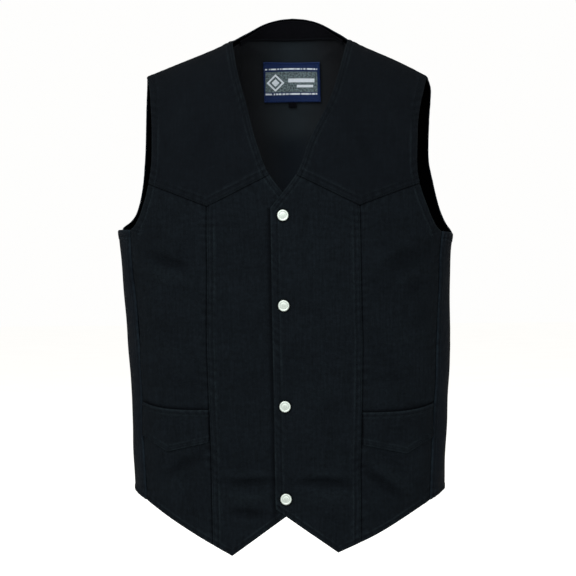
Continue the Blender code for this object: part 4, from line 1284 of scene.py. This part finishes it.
def lining_material(name):
    """Dark grey lining: plain weave with faint streaks, a painted pool of light round the label, browner
    painted shade beside it and bluer painted shade far below it.

    The lit middle fades sideways as exp(-aside^2) and downwards as 1 / (1 + exp(fall)).
    """
    colours = bpy.context.scene.vest_colours
    made, tree, shader, places = new_material(name)
    weave = woven(tree, places, pitch=0.0007, twill=0.2)
    dye, apart = dyed(tree, places), split(tree, places["Object"])
    # Painted light: a lit middle round the label, fading to painted shade at the sides and far below
    aside = calculate(tree, "SUBTRACT", apart["X"], LABEL_CENTRE_X)
    aside = calculate(tree, "DIVIDE", aside, LINING_LIT_WIDTH)
    squared = calculate(tree, "MULTIPLY", aside, aside)
    middle = calculate(tree, "EXPONENT", calculate(tree, "MULTIPLY", squared, -1.0))
    fall = calculate(tree, "SUBTRACT", LINING_LIT_LOW_Z, apart["Z"])
    fall = calculate(tree, "EXPONENT", calculate(tree, "DIVIDE", fall, LINING_LIT_FADE))
    upper = calculate(tree, "DIVIDE", 1.0, calculate(tree, "ADD", fall, 1.0))
    tint = blend_colours(tree, upper, opaque(colours.lining_painted_shade_low), opaque(colours.lining))
    tint = blend_colours(tree, middle, opaque(colours.lining_painted_shade), tint)
    tint = mottled(tree, tint, dye["Broad"], depth=0.25)
    tint = mottled(tree, tint, weave["Streak"], depth=0.15)
    finish(tree, shader, tint, remap(tree, dye["Fine"], low=0.50, high=0.62), weave["Height"],
           specular=0.015, strength=0.15, distance=0.0002)
    return made


def label_material(name):
    """Woven label: navy border, broken pale lines near top and bottom, speckled field with plain shapes.

    Everything is worked out from the label's cloth coordinates, measured from its middle. A lozenge is
    where |across| + |up| stays under a size, and a bar where both stay inside its half width and height.
    """
    colours = bpy.context.scene.vest_colours
    made, tree, shader, places = new_material(name)
    weave = woven(tree, places, pitch=0.0009, twill=0.4)
    dye, apart = dyed(tree, places), split(tree, places["UV"])
    across = calculate(tree, "SUBTRACT", apart["X"], LABEL_CENTRE_X - LABEL_CURVE_SHIFT)
    up = calculate(tree, "SUBTRACT", apart["Y"], (LABEL_TOP_Z + LABEL_BOTTOM_Z) / 2)

    def bar(x, z, half_width, half_height):
        """Mask of one upright rectangle on the label."""
        wide = calculate(tree, "COMPARE", across, x, half_width)
        return calculate(tree, "MULTIPLY", wide, calculate(tree, "COMPARE", up, z, half_height))

    def lozenge(x, z, size):
        """Mask of one lozenge on the label."""
        aside = calculate(tree, "ABSOLUTE", calculate(tree, "SUBTRACT", across, x))
        above = calculate(tree, "ABSOLUTE", calculate(tree, "SUBTRACT", up, z))
        return calculate(tree, "LESS_THAN", calculate(tree, "ADD", aside, above), size)

    speckle = noise(tree, places["UV"], scale=480.0, detail=2.0)
    grain = calculate(tree, "MAXIMUM", remap(tree, speckle, low=-1.1, high=2.1), 0.0)
    grain = calculate(tree, "SMOOTH_MIN", grain, 1.0, GRAIN_SOFTNESS)
    grey = shades(tree, grain, colours.label_field, dark=0.25, pale=1.9)
    navy = shades(tree, dye["Fine"], colours.label_border, dark=0.6, pale=1.4)
    tint = blend_colours(tree, bar(*LABEL_FIELD), navy, grey)
    dashes = noise(tree, places["UV"], scale=1.0, detail=1.0, stretch=(520.0, 30.0, 1.0))
    dashes = calculate(tree, "GREATER_THAN", dashes, DASH_THRESHOLD)
    lines = calculate(tree, "ADD", *(bar(*row) for row in LABEL_LINES))
    pale = calculate(tree, "MULTIPLY", lines, dashes)
    outside, inside, heart = (lozenge(*LOZENGE_PLACE, size) for size in LOZENGE_SIZES)
    for shape in (calculate(tree, "SUBTRACT", outside, inside), heart, *(bar(*row) for row in LABEL_BARS)):
        pale = calculate(tree, "ADD", pale, shape)
    pale = calculate(tree, "MINIMUM", pale, 1.0)
    weft = shades(tree, speckle, colours.label_pale, dark=0.75, pale=1.25)
    tint = blend_colours(tree, pale, tint, weft)
    raised = calculate(tree, "MULTIPLY_ADD", pale, PALE_WEFT_HEIGHT, weave["Height"])
    finish(tree, shader, tint, remap(tree, speckle, low=0.60, high=0.80), raised,
           specular=0.10, strength=0.5, distance=0.0003)
    return made


def thread_material(name):
    """Twisted thread: a spiral sin(2 pi (turns along + round)) on a stitch's coordinates, as bump and as
    painted shade in its grooves and painted light on its crests.
    """
    made, tree, shader, places = new_material(name)
    apart = split(tree, places["UV"])
    spiral = calculate(tree, "MULTIPLY_ADD", apart["X"], THREAD_TURNS, apart["Y"])
    twist = wave(tree, spiral, 2 * math.pi)
    base = getattr(bpy.context.scene.vest_colours, THREADS[name])
    # Painted shade and light: the thread is darker where the twist sinks and paler where it stands up
    tint = shades(tree, remap(tree, twist, low=0.5, high=1.0), base, dark=0.65, pale=1.25)
    finish(tree, shader, tint, roughness=0.90, height=twist, specular=0.02, strength=0.4, distance=0.0002)
    return made


def nickel_material(name):
    """Bright nickel: fine upright scratches in roughness and bump, with painted shade and painted
    highlights from the profile's painted shine.
    """
    made, tree, shader, places = new_material(name)
    scratches = noise(tree, places["Object"], scale=2600.0, detail=2.0, stretch=(1.0, 1.0, 0.15))
    # Painted shade and shine: the profile's values darken the groove and the sides and lighten the ring
    tint = shades(tree, wear_and_shading_mask(tree), bpy.context.scene.vest_colours.nickel, dark=0.50, pale=1.30)
    tint = mottled(tree, tint, dyed(tree, places)["Fine"], depth=0.15)
    shader.inputs["Metallic"].default_value = 1.0
    finish(tree, shader, tint, remap(tree, scratches, low=0.42, high=0.60), scratches,
           specular=0.5, strength=0.08, distance=0.0001)
    return made


MAKERS = {
    **dict.fromkeys(DENIMS, denim_material),
    **dict.fromkeys(THREADS, thread_material),
    "inside_black": inside_material,
    "facing_black": facing_material,
    "lining_grey": lining_material,
    "woven_label": label_material,
    "snap_nickel": nickel_material,
}


def material(name):
    """Material of a name, made once."""
    return bpy.data.materials.get(name) or MAKERS[name](name)


def declare(piece, node=None):
    """Hangs a piece on the vest's one body, and hides the solid that it stands in for."""
    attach(piece, "root")
    if node:
        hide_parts(node)


def add_shell(name, panel, outside, node):
    """Makes a panel's shell, with the named material outside, in place of its solid."""
    points, faces, inside, uv, wear = shell(panel)
    cloths = [material(outside), material("inside_black")]
    piece = add_mesh(name, points, [faces], cloths, uv, wear, inside)
    declare(piece, node)
    return piece


def add_cloth(name, panel, outside, node, slot, with_pieces=()):
    piece = add_shell(name, panel, outside, node)
    rows = panel.stitch_rows()
    sewing = list(with_pieces)
    if rows:
        grid = bpy.context.scene.vest_grid
        seed = sum(ord(letter) for letter in name)
        sizes = (grid.stitch_pitch, grid.stitch_length, grid.thread_width)
        points, faces, uv = stitch_arrays(rows, *sizes, seed)
        thread = "label_thread" if slot == "label" else "topstitch_thread"
        stitches = add_mesh(name + "_stitches", points, faces, [material(thread)], uv)
        declare(stitches)
        sewing.append(stitches)
    width, length, area = panel.flat_size()


def front_panel(grid, side, base, thickness):
    """Panel of the left (+1) or right (-1) front from its grid in (x, z) of the left side."""
    x, z = grid[..., 0], grid[..., 1]
    turn = side * turn_of(x, z, -1)
    return Panel(turn, z, base + lap_shift(x, side), thickness, flip=side < 0)


def yoke_grid(side, word):
    """Grid of the left (+1) or right (-1) yoke: seam below, neck and armhole beside, shoulder on top."""
    bottom, u = bent(YOKE_INNER, YOKE_TIP, YOKE_OUTER)
    bottom[:, 1] += SEAM_GAP / 2
    v = rise_shares(YOKE_TIP[1], SHOULDER_MIDDLE_X, -1)
    tip_z = float(top_line("front_z", side * FRONT_ARMHOLE[word][-1]))
    left = along_table(NECK_EDGE, bottom[0, 1], 0.0, v)
    left[:, 0] += side * neck_sway(left[:, 0]) * ease((left[:, 1] - SWAY_LOW_Z) / SWAY_RISE)
    right = along_table(FRONT_ARMHOLE, bottom[-1, 1], tip_z, v, column=word)
    top_x = left[-1, 0] + (right[-1, 0] - left[-1, 0]) * u
    top = np.stack([top_x, top_line("front_z", side * top_x)], axis=-1)
    return patch(left, right, bottom, top, u, v)


def centre_grid(word):
    """Grid of a centre front: lap and neck edge at its inner side, princess seam at its outer side."""
    hem_x, hem_z = SIDE_HEM[word + "_x"], SIDE_HEM[word + "_z"]
    seam_x = float(at_height(PRINCESS_SEAM, "x", hem_z[0])) - SEAM_GAP / 2
    hem_end = (seam_x, float(smooth(hem_x, hem_z, seam_x)))
    step = bpy.context.scene.vest_grid.front_step
    bottom, u = bent(LAP_HEM, (hem_x[0], hem_z[0]), hem_end, step)
    top = straight(YOKE_INNER, YOKE_TIP, u) - (0.0, SEAM_GAP / 2)
    lap, neck, v = two_stretches(span(LAP_HEM, LAP_CORNER), span(LAP_CORNER, YOKE_INNER), step, step)
    left = chain(straight(LAP_HEM, LAP_CORNER, lap),
                 along_table(NECK_EDGE, LAP_CORNER[1], top[0, 1], neck))
    right = along_table(PRINCESS_SEAM, bottom[-1, 1], top[-1, 1], v, -SEAM_GAP / 2)
    return patch(left, right, bottom, top, u, v), len(lap) - 1


def side_grid(word):
    """Grid of a side front between the princess seam and the side seam, up to armhole and yoke."""
    hem_x, hem_z = SIDE_HEM[word + "_x"], SIDE_HEM[word + "_z"]
    seam_x = float(at_height(PRINCESS_SEAM, "x", hem_z[0])) + SEAM_GAP / 2
    end_x = hem_x[-1] - SEAM_GAP / 2
    u = steps(HEM_SLANT * (end_x - seam_x))
    bottom_x = seam_x + (end_x - seam_x) * u
    bottom = np.stack([bottom_x, smooth(hem_x, hem_z, bottom_x)], axis=-1)
    top = straight(YOKE_TIP, YOKE_OUTER, u) - (0.0, SEAM_GAP / 2)
    arm_length = ARMHOLE_SLANT * (YOKE_OUTER[1] - UNDERARM_Z)
    step = bpy.context.scene.vest_grid.front_step
    seam, armhole, v = two_stretches(UNDERARM_Z - hem_z[-1], arm_length, step)
    left = along_table(PRINCESS_SEAM, bottom[0, 1], top[0, 1], v, SEAM_GAP / 2)
    right = chain(along_table(SIDE_SEAM, bottom[-1, 1], UNDERARM_Z, seam, -SEAM_GAP / 2),
                  along_table(FRONT_ARMHOLE, UNDERARM_Z, top[-1, 1], armhole, -SEAM_GAP / 2, word))
    return patch(left, right, bottom, top, u, v), len(seam) - 1


def welt_ends():
    """Where a pocket welt starts at the princess seam and ends at the side seam."""
    return (float(at_height(PRINCESS_SEAM, "x", MOUTH_INNER_Z)) + SEAM_GAP,
            float(at_height(SIDE_SEAM, "x", WELT_SIDE_Z)) - 2 * SEAM_GAP)


def pocket_drop(side):
    """How much lower the left pocket is set than the right one."""
    return LEFT_POCKET_DROP if side > 0 else 0.0


def mouth_height(x, side):
    """Height of the pocket's mouth: level, then curving up to the side seam."""
    inner_x, outer_x = welt_ends()
    rise = MOUTH_SIDE_RISE * np.clip((x - inner_x) / (outer_x - inner_x), 0, 1) ** MOUTH_CURVE
    return MOUTH_INNER_Z + rise - pocket_drop(side)


def welt_grid(side):
    """Grid of the left (+1) or right (-1) pocket welt: curved mouth on top, point in its lower edge.

    Also returns its columns' shares across and its rows' shares up.
    """
    inner_x, outer_x = welt_ends()
    inner, outer, across = two_stretches(WELT_POINT[0] - inner_x, outer_x - WELT_POINT[0])
    bottom = chain(straight((inner_x, WELT_INNER_Z), WELT_POINT, inner),
                   straight(WELT_POINT, (outer_x, WELT_SIDE_Z), outer)) - (0.0, pocket_drop(side))
    mouth = mouth_height(bottom[:, 0], side)
    v = steps(mouth.mean() - bottom[:, 1].mean())
    z = heights_between(bottom[:, 1], mouth, v)
    return np.stack([np.broadcast_to(bottom[None, :, 0], z.shape), z], axis=-1), across, v


def back_grid():
    """Turns and heights of the back's grid, which of its cells are cloth, and its row and column marks.

    Below the underarm the columns wrap round to both side seams. Above it only the columns between the
    armholes go on, drawn in to the armhole's edge and up to the top line.
    """
    lower = steps(UNDERARM_Z - BACK_HEM_Z)
    upper = rise_shares(UNDERARM_Z, SHOULDER_MIDDLE_X, 1)
    start_turn = math.pi - float(turn_of(BACK_ARMHOLE["left"][0], UNDERARM_Z, 1))
    middle = 2 * steps(BACK_SPREAD) - 1
    seam_hem_z = SIDE_HEM["right_z"][-1]
    seam_z = seam_hem_z + (UNDERARM_Z - seam_hem_z) * lower
    seam_turn = math.pi - turn_of(at_height(SIDE_SEAM, "x", seam_z) + SEAM_GAP / 2, seam_z, -1)
    flank = steps(FLANK_SPREAD)[1:]
    right_flank = start_turn + (seam_turn[:, None] - start_turn) * flank[None, :]
    across_back = np.tile(middle * start_turn, (len(lower), 1))
    from_back = np.hstack([-right_flank[:, ::-1], across_back, right_flank])
    turned, quarter = np.abs(from_back[0]), math.pi / 2
    side_z = np.where(from_back[0] < 0, SIDE_HEM["left_z"][-1], SIDE_HEM["right_z"][-1])
    hem = BACK_HEM_Z + (side_z + FLANK_HEM_RISE - BACK_HEM_Z) * ease(turned / quarter)
    aside = np.where(turned > quarter, ring_radius(turned) * np.sin(turned), 1.0)
    hem -= FLANK_HEM_RISE * (1 - aside) / (1 - aside[0])
    low_z = hem[None, :] + (UNDERARM_Z - hem[None, :]) * lower[:, None]

    between = slice(len(flank), len(flank) + len(middle))
    tip_z = float(top_line("back_z", SHOULDER_TIP_X))
    edge_z = UNDERARM_Z + (tip_z - UNDERARM_Z) * upper
    left_turn, right_turn = (math.pi - turn_of(at_height(BACK_ARMHOLE, word, edge_z), edge_z, 1)
                             for _, word in SIDES)
    high_turn = np.zeros((len(upper), from_back.shape[1]))
    high_turn[:, between] = (right_turn[:, None] * (1 + middle) - left_turn[:, None] * (1 - middle)) / 2
    top_x = -np.sin(high_turn[-1]) * ring_radius(high_turn[-1]) * at_height(BODY, "half_width", 0.0)
    top_z = top_line("back_z", np.clip(top_x, -SHOULDER_TIP_X, SHOULDER_TIP_X))
    high_z = UNDERARM_Z + (top_z[None, :] - UNDERARM_Z) * upper[:, None]

    turns = math.pi + np.vstack([from_back, high_turn[1:]])
    heights = np.vstack([low_z, high_z[1:]])
    cells = np.ones((turns.shape[0] - 1, turns.shape[1] - 1), bool)
    cells[len(lower) - 1:, :between.start] = False
    cells[len(lower) - 1:, between.stop - 1:] = False
    return turns, heights, cells, len(lower) - 1, between, top_x


class VEST_OT_back(bpy.types.Operator):
    """Adds the back panel from side seam to side seam, with its hem, armholes, neck and shoulder edges."""
    bl_idname = "vest.back"
    bl_label = "Back"

    def execute(self, context):
        turns, heights, cells, underarm, between, top_x = back_grid()
        panel = Panel(turns, heights, 0.0, context.scene.vest_cloth.denim, cells=cells)
        lower, upper = slice(0, underarm + 1), slice(underarm, None)
        first_flank, last_flank = slice(0, between.start + 1), slice(between.stop - 1, None)
        panel.sew("bottom", "hem", (lower, slice(None)))
        for border, flank in (("left", first_flank), ("right", last_flank)):
            panel.sew(border, "side_fold", (lower, flank), trim=(0.006, 0.010))
            panel.sew("top", "armhole", (lower, flank))
            panel.sew(border, "armhole", (upper, between))
        columns = np.arange(turns.shape[1])[between]
        neck = columns[np.abs(top_x - neck_sway(top_x))[between] < NECK_HALF_WIDTH]
        panel.sew("top", "neck", (upper, slice(neck[0], neck[-1] + 1)))
        for shoulder in (slice(between.start, neck[0]), slice(neck[-1] + 1, between.stop)):
            panel.sew("top", "shoulder_fold", (upper, shoulder))
        add_cloth("back_cloth", panel, "denim_back", "back_panel", "denim")
        return {"FINISHED"}


class VEST_OT_yokes(bpy.types.Operator):
    """Adds the two pointed yokes, topstitched twice above their seam."""
    bl_idname = "vest.yokes"
    bl_label = "Yokes"

    def execute(self, context):
        for side, word in SIDES:
            panel = front_panel(yoke_grid(side, word), side, 0.0, context.scene.vest_cloth.denim)
            panel.sew("bottom", "yoke_fold")
            panel.sew("left", "neck", trim=(0.002, 0.004))
            panel.sew("right", "armhole", trim=(0.002, 0.004))
            panel.sew("top", "shoulder_fold", trim=(0.008, 0.010))
            add_cloth(f"yoke_{word}_cloth", panel, "denim_yoke", f"yoke_{word}", "denim")
        return {"FINISHED"}


class VEST_OT_centre_fronts(bpy.types.Operator):
    """Adds the two centre fronts, the left lapped over the right, with their pointed hems."""
    bl_idname = "vest.centre_fronts"
    bl_label = "Centre fronts"

    def execute(self, context):
        for side, word in SIDES:
            grid, corner = centre_grid(word)
            panel = front_panel(grid, side, 0.0, context.scene.vest_cloth.denim)
            if side > 0:
                self.press_snaps(panel, grid, context.scene.vest_cloth.snap_radius)
            else:
                self.shade_under_lap(panel, grid)
            panel.sew("top", "sunk")
            panel.sew("bottom", "hem", trim=(0.006, 0.002))
            panel.sew("left", "lap", (slice(0, corner + 1), slice(None)), trim=(0.004, 0.003))
            panel.sew("left", "neck", (slice(corner, None), slice(None)), trim=(0.003, 0.001))
            panel.sew("right", "princess_fold", trim=(0.001, 0.001))
            add_cloth(f"front_centre_{word}_cloth", panel, "denim_body", f"front_centre_{word}", "denim")
        return {"FINISHED"}

    def press_snaps(self, panel, grid, radius):
        """Presses the cloth down round each snap: a dish exp(-(r / reach)^4) and a ring of painted shadow
        at its rim.
        """
        for z in SNAP_HEIGHTS:
            away = np.hypot(grid[..., 0], grid[..., 1] - z)
            panel.relief -= SNAP_DISH * np.exp(-(away / (SNAP_DISH_REACH * radius)) ** 4)
            panel.wear -= band(away - radius, *SNAP_SHADE)

    def shade_under_lap(self, panel, grid):
        """Sinks the right front beside the left one's edge, and paints there the shadow that the lap casts.
        """
        edge = -np.interp(grid[..., 1], (LAP_HEM[1], LAP_CORNER[1]), (LAP_HEM[0], LAP_CORNER[0]))
        beside = grid[..., 0] - edge - LAP_SHADE_STEP
        below_neck = grid[..., 1] < LAP_CORNER[1]
        panel.relief -= band(beside, *LAP_SINK) * below_neck
        panel.wear -= band(beside, *LAP_SHADE) * below_neck


class VEST_OT_side_fronts(bpy.types.Operator):
    """Adds the two side fronts between princess seam and side seam."""
    bl_idname = "vest.side_fronts"
    bl_label = "Side fronts"

    def execute(self, context):
        for side, word in SIDES:
            grid, underarm = side_grid(word)
            panel = front_panel(grid, side, 0.0, context.scene.vest_cloth.denim)
            # Painted shadow of the welt in a band just above the pocket's mouth, where the cloth also sinks
            above = grid[..., 1] - mouth_height(grid[..., 0], side) - MOUTH_SHADE_RISE
            panel.wear -= band(above, *MOUTH_SHADE)
            panel.relief -= band(above, *MOUTH_SINK)
            panel.sew("left", "sunk")
            panel.sew("top", "sunk")
            panel.sew("bottom", "hem")
            panel.sew("right", "sunk", (slice(0, underarm + 1), slice(None)))
            panel.sew("right", "armhole", (slice(underarm, None), slice(None)), trim=(0.0, 0.001))
            add_cloth(f"front_side_{word}_cloth", panel, "denim_body", f"front_side_{word}", "denim")
        return {"FINISHED"}


class VEST_OT_pocket_welts(bpy.types.Operator):
    """Adds the two shaped pocket welts: a mouth that gapes a little, and a lower edge sewn twice."""
    bl_idname = "vest.pocket_welts"
    bl_label = "Pocket welts"

    def execute(self, context):
        thickness = context.scene.vest_cloth.welt
        for side, word in SIDES:
            grid, across, v = welt_grid(side)
            arch = np.sin(math.pi * np.clip(across, 0, 1)) ** GAPE_POWER
            gape = MOUTH_GAPE * arch[None, :] * v[:, None] ** GAPE_RISE_POWER
            panel = front_panel(grid, side, thickness + SEAM_GAP + gape, thickness)
            panel.sew("top", "mouth", trim=(0.002, 0.002))
            panel.sew("bottom", "welt_edge", trim=(0.001, 0.001))
            panel.sew("left", "plain")
            panel.sew("right", "plain")
            add_cloth(f"pocket_welt_{word}_cloth", panel, "denim_body", f"pocket_welt_{word}", "denim")
        return {"FINISHED"}


def inside_panel(x, top, bottom, v, depth, thickness):
    """Panel on the inside of the back, facing the neck; its columns run from the wearer's left to right."""
    z = heights_between(bottom, top, v)
    turn = turn_of(np.broadcast_to(x, z.shape), z, 1)
    return Panel(turn, z, -depth - thickness, -thickness, flip=True)


def lining_panel(cloth):
    """Panel of the back's lining: as wide as the armholes leave it, from above the hem up to the facing."""
    top_x = BACK_ARMHOLE["left"][-1] - LINING_SIDE_INSET
    share = 1 - 2 * steps(2 * top_x)
    below_shoulder = top_line("back_z", top_x * share) - LINING_SHOULDER_DROP
    top = np.minimum(FACING_LOWER_Z + LINING_TUCK, below_shoulder)
    bottom = np.full_like(top, BACK_HEM_Z + LINING_HEM_RISE)
    z = heights_between(bottom, top, rise_shares(bottom[0], LINING_MIDDLE_X, 1))
    x = (at_height(BACK_ARMHOLE, "left", z) - LINING_SIDE_INSET) * share[None, :]
    folds = fold_height(x, z, np.ones_like(x), LINING_FOLDS)
    depth = cloth.denim + LOOSE_GAP + cloth.lining - folds - LINING_STAND
    return Panel(turn_of(x, z, 1), z, -depth, -cloth.lining, flip=True)


class VEST_OT_inside(bpy.types.Operator):
    """Adds the lining of the back and the black crescent facing of the neck."""
    bl_idname = "vest.inside"
    bl_label = "Lining and facing"

    def execute(self, context):
        cloth = context.scene.vest_cloth
        panel = lining_panel(cloth)
        for border in BORDERS:
            panel.sew(border, "lining_edge")
        add_cloth("lining_cloth", panel, "lining_grey", "back_lining", "lining")

        x = NECK_SWAY + FACING_HALF_WIDTH * (1 - 2 * steps(FACING_SPREAD * FACING_HALF_WIDTH))
        top = top_line("back_z", x) - FACING_TUCK
        bottom = np.minimum(FACING_LOWER_Z, top - FACING_LEAST_DEPTH)
        facing = inside_panel(x, top, bottom, steps(FACING_DEPTH), cloth.denim + FACET_GAP + FACING_STAND,
                              cloth.lining)
        facing.sew("bottom", "facing_edge")
        facing.sew("top", "plain")
        add_cloth("neck_facing_cloth", facing, "facing_black", "back_neck_facing", "facing")
        return {"FINISHED"}


class VEST_OT_label(bpy.types.Operator):
    """Adds the woven label with its plain bars, and the small tab below it."""
    bl_idname = "vest.label"
    bl_label = "Label and tab"

    def execute(self, context):
        cloth = context.scene.vest_cloth
        depth = cloth.denim + LOOSE_GAP + cloth.lining + FACET_GAP
        x = LABEL_CENTRE_X + LABEL_HALF_WIDTH * (1 - 2 * steps(2 * LABEL_HALF_WIDTH))
        label = inside_panel(x, np.full_like(x, LABEL_TOP_Z), np.full_like(x, LABEL_BOTTOM_Z),
                             steps(LABEL_TOP_Z - LABEL_BOTTOM_Z), depth, cloth.lining)
        for border in BORDERS:
            label.sew(border, "label_edge", trim=(0.0015, 0.0015))
        x = LABEL_CENTRE_X + TAB_HALF_WIDTH * (1 - 2 * np.linspace(0, 1, TAB_COLUMNS))
        tab = inside_panel(x, np.full_like(x, LABEL_BOTTOM_Z - SEAM_GAP), np.full_like(x, TAB_BOTTOM_Z),
                           np.linspace(0, 1, TAB_ROWS), depth, cloth.lining)
        for border in ("left", "right", "bottom"):
            tab.sew(border, "plain")
        tab_piece = add_shell("size_tab_cloth", tab, "facing_black", "size_tab")
        add_cloth("label_cloth", label, "woven_label", "neck_label", "label", [tab_piece])
        return {"FINISHED"}


class VEST_OT_snaps(bpy.types.Operator):
    """Adds the four turned snap caps on the lap and the rivet backs inside it."""
    bl_idname = "vest.snaps"
    bl_label = "Snaps"

    def execute(self, context):
        cloth = context.scene.vest_cloth
        cap_out, rivet_out = LAP_SHIFT + SEAM_GAP, -LAP_SHIFT - cloth.denim - SEAM_GAP
        for place, z in enumerate(SNAP_HEIGHTS, 1):
            self.seat(f"snap_cap_{place}", CAP_PROFILE, z, cap_out, -1, cloth.snap_radius)
            self.seat(f"snap_back_{place}", RIVET_PROFILE, z, rivet_out, 1, cloth.snap_radius)
        return {"FINISHED"}

    def seat(self, node, profile, z, out, facing, radius):
        """Turned piece on the centre front at height z, facing out (-1) or into the vest (+1)."""
        points, faces, painted_shine = revolve(profile * (radius, radius, 1.0), CAP_SEGMENTS)
        above, below = form(0.0, z + radius, out), form(0.0, z - radius, out)
        lean = math.atan2(above[1] - below[1], above[2] - below[2])
        turn = np.array(Matrix.Rotation(-facing * math.pi / 2 - lean, 3, "X"))
        points = points @ turn.T + (above + below) / 2
        piece = add_mesh(node + "_metal", points, faces, [material("snap_nickel")], wear=painted_shine)
        declare(piece, node)


class VEST_OT_stage(bpy.types.Operator):
    """Adds the pale floor and surroundings, the soft lights and the camera."""
    bl_idname = "vest.stage"
    bl_label = "Stage"

    def execute(self, context):
        scene, studio = context.scene, context.scene.vest_studio
        scene.view_settings.view_transform = "Standard"
        target = np.array((0.0, 0.0, studio.look_height))
        turn, roll = studio.camera_azimuth, studio.camera_roll
        back = np.array((math.sin(turn), -math.cos(turn), 0.0))
        level, up = np.array((math.cos(turn), math.sin(turn), 0.0)), np.array((0.0, 0.0, 1.0))
        right = level * math.cos(roll) + up * math.sin(roll)
        above = up * math.cos(roll) - level * math.sin(roll)
        camera = bpy.data.objects.new("camera", bpy.data.cameras.new("camera"))
        camera.data.lens = studio.camera_lens
        camera.data.sensor_width = SENSOR_WIDTH
        place = Matrix(np.column_stack([right, above, back]).tolist()).to_4x4()
        place.translation = Vector(target + back * studio.camera_distance)
        camera.matrix_world = place
        scene.collection.objects.link(camera)
        scene.camera = camera

        world = bpy.data.worlds.new("studio")
        world.use_nodes = True
        world.node_tree.nodes["Background"].inputs["Color"].default_value = BACKDROP
        scene.world = world
        self.add_floor(studio.floor_height)
        for name, light_place, size in LIGHTS:
            self.add_light(name, light_place, target, size, getattr(studio, name + "_power"))
        return {"FINISHED"}

    def add_floor(self, height):
        """Wide pale floor: matt white with a little light of its own, so that it meets the backdrop."""
        reach = FLOOR_REACH
        points = np.array(((-reach, -reach, height), (reach, -reach, height),
                           (reach, reach, height), (-reach, reach, height)))
        made, tree, shader, places = new_material("pale_floor")
        dust = noise(tree, places["Object"], scale=3.0, detail=2.0)
        tree.links.new(blend_colours(tree, dust, FLOOR_DARK, FLOOR_PALE), shader.inputs["Base Color"])
        shader.inputs["Roughness"].default_value = 0.9
        shader.inputs["Specular IOR Level"].default_value = 0.0
        shader.inputs["Emission Color"].default_value = BACKDROP
        shader.inputs["Emission Strength"].default_value = FLOOR_GLOW
        floor = add_mesh("floor", points, [np.array([[0, 1, 2, 3]])], [made])

    def add_light(self, name, place, target, size, power):
        """Large square area light that looks at the vest."""
        light = bpy.data.objects.new(name, bpy.data.lights.new(name, "AREA"))
        light.data.shape = "SQUARE"
        light.data.size = size
        light.data.energy = power
        light.location = place
        light.rotation_euler = (Vector(target) - Vector(place)).to_track_quat("-Z", "Y").to_euler()
        bpy.context.scene.collection.objects.link(light)


OPERATORS = (VEST_OT_stage, VEST_OT_back, VEST_OT_inside, VEST_OT_label, VEST_OT_yokes,
             VEST_OT_centre_fronts, VEST_OT_side_fronts, VEST_OT_pocket_welts, VEST_OT_snaps)
SETTINGS = (("vest_grid", VestGrid), ("vest_cloth", VestCloth), ("vest_colours", VestColours),
            ("vest_studio", VestStudio))


class VEST_PT_sidebar(bpy.types.Panel):
    """Lists the vest's settings and pieces."""
    bl_label = "Denim riding vest"
    bl_space_type = "VIEW_3D"
    bl_region_type = "UI"
    bl_category = "Vest"

    def draw(self, context):
        for name, group in SETTINGS:
            box = self.layout.box()
            for key in group.__annotations__:
                box.prop(getattr(context.scene, name), key)
        for operator in OPERATORS:
            self.layout.operator(operator.bl_idname)


def register():
    """Registers the settings, the operators and the sidebar."""
    for name, group in SETTINGS:
        bpy.utils.register_class(group)
        setattr(bpy.types.Scene, name, PointerProperty(type=group))
    for operator in OPERATORS:
        bpy.utils.register_class(operator)
    bpy.utils.register_class(VEST_PT_sidebar)


def unregister():
    """Removes what register added."""
    bpy.utils.unregister_class(VEST_PT_sidebar)
    for operator in reversed(OPERATORS):
        bpy.utils.unregister_class(operator)
    for name, group in reversed(SETTINGS):
        delattr(bpy.types.Scene, name)
        bpy.utils.unregister_class(group)


def main():
    """Builds the stage and every piece."""
    register()
    bpy.ops.vest.stage()
    bpy.ops.vest.back()
    bpy.ops.vest.inside()
    bpy.ops.vest.label()
    bpy.ops.vest.yokes()
    bpy.ops.vest.centre_fronts()
    bpy.ops.vest.side_fronts()
    bpy.ops.vest.pocket_welts()
    bpy.ops.vest.snaps()


if __name__ == "__main__":
    main()
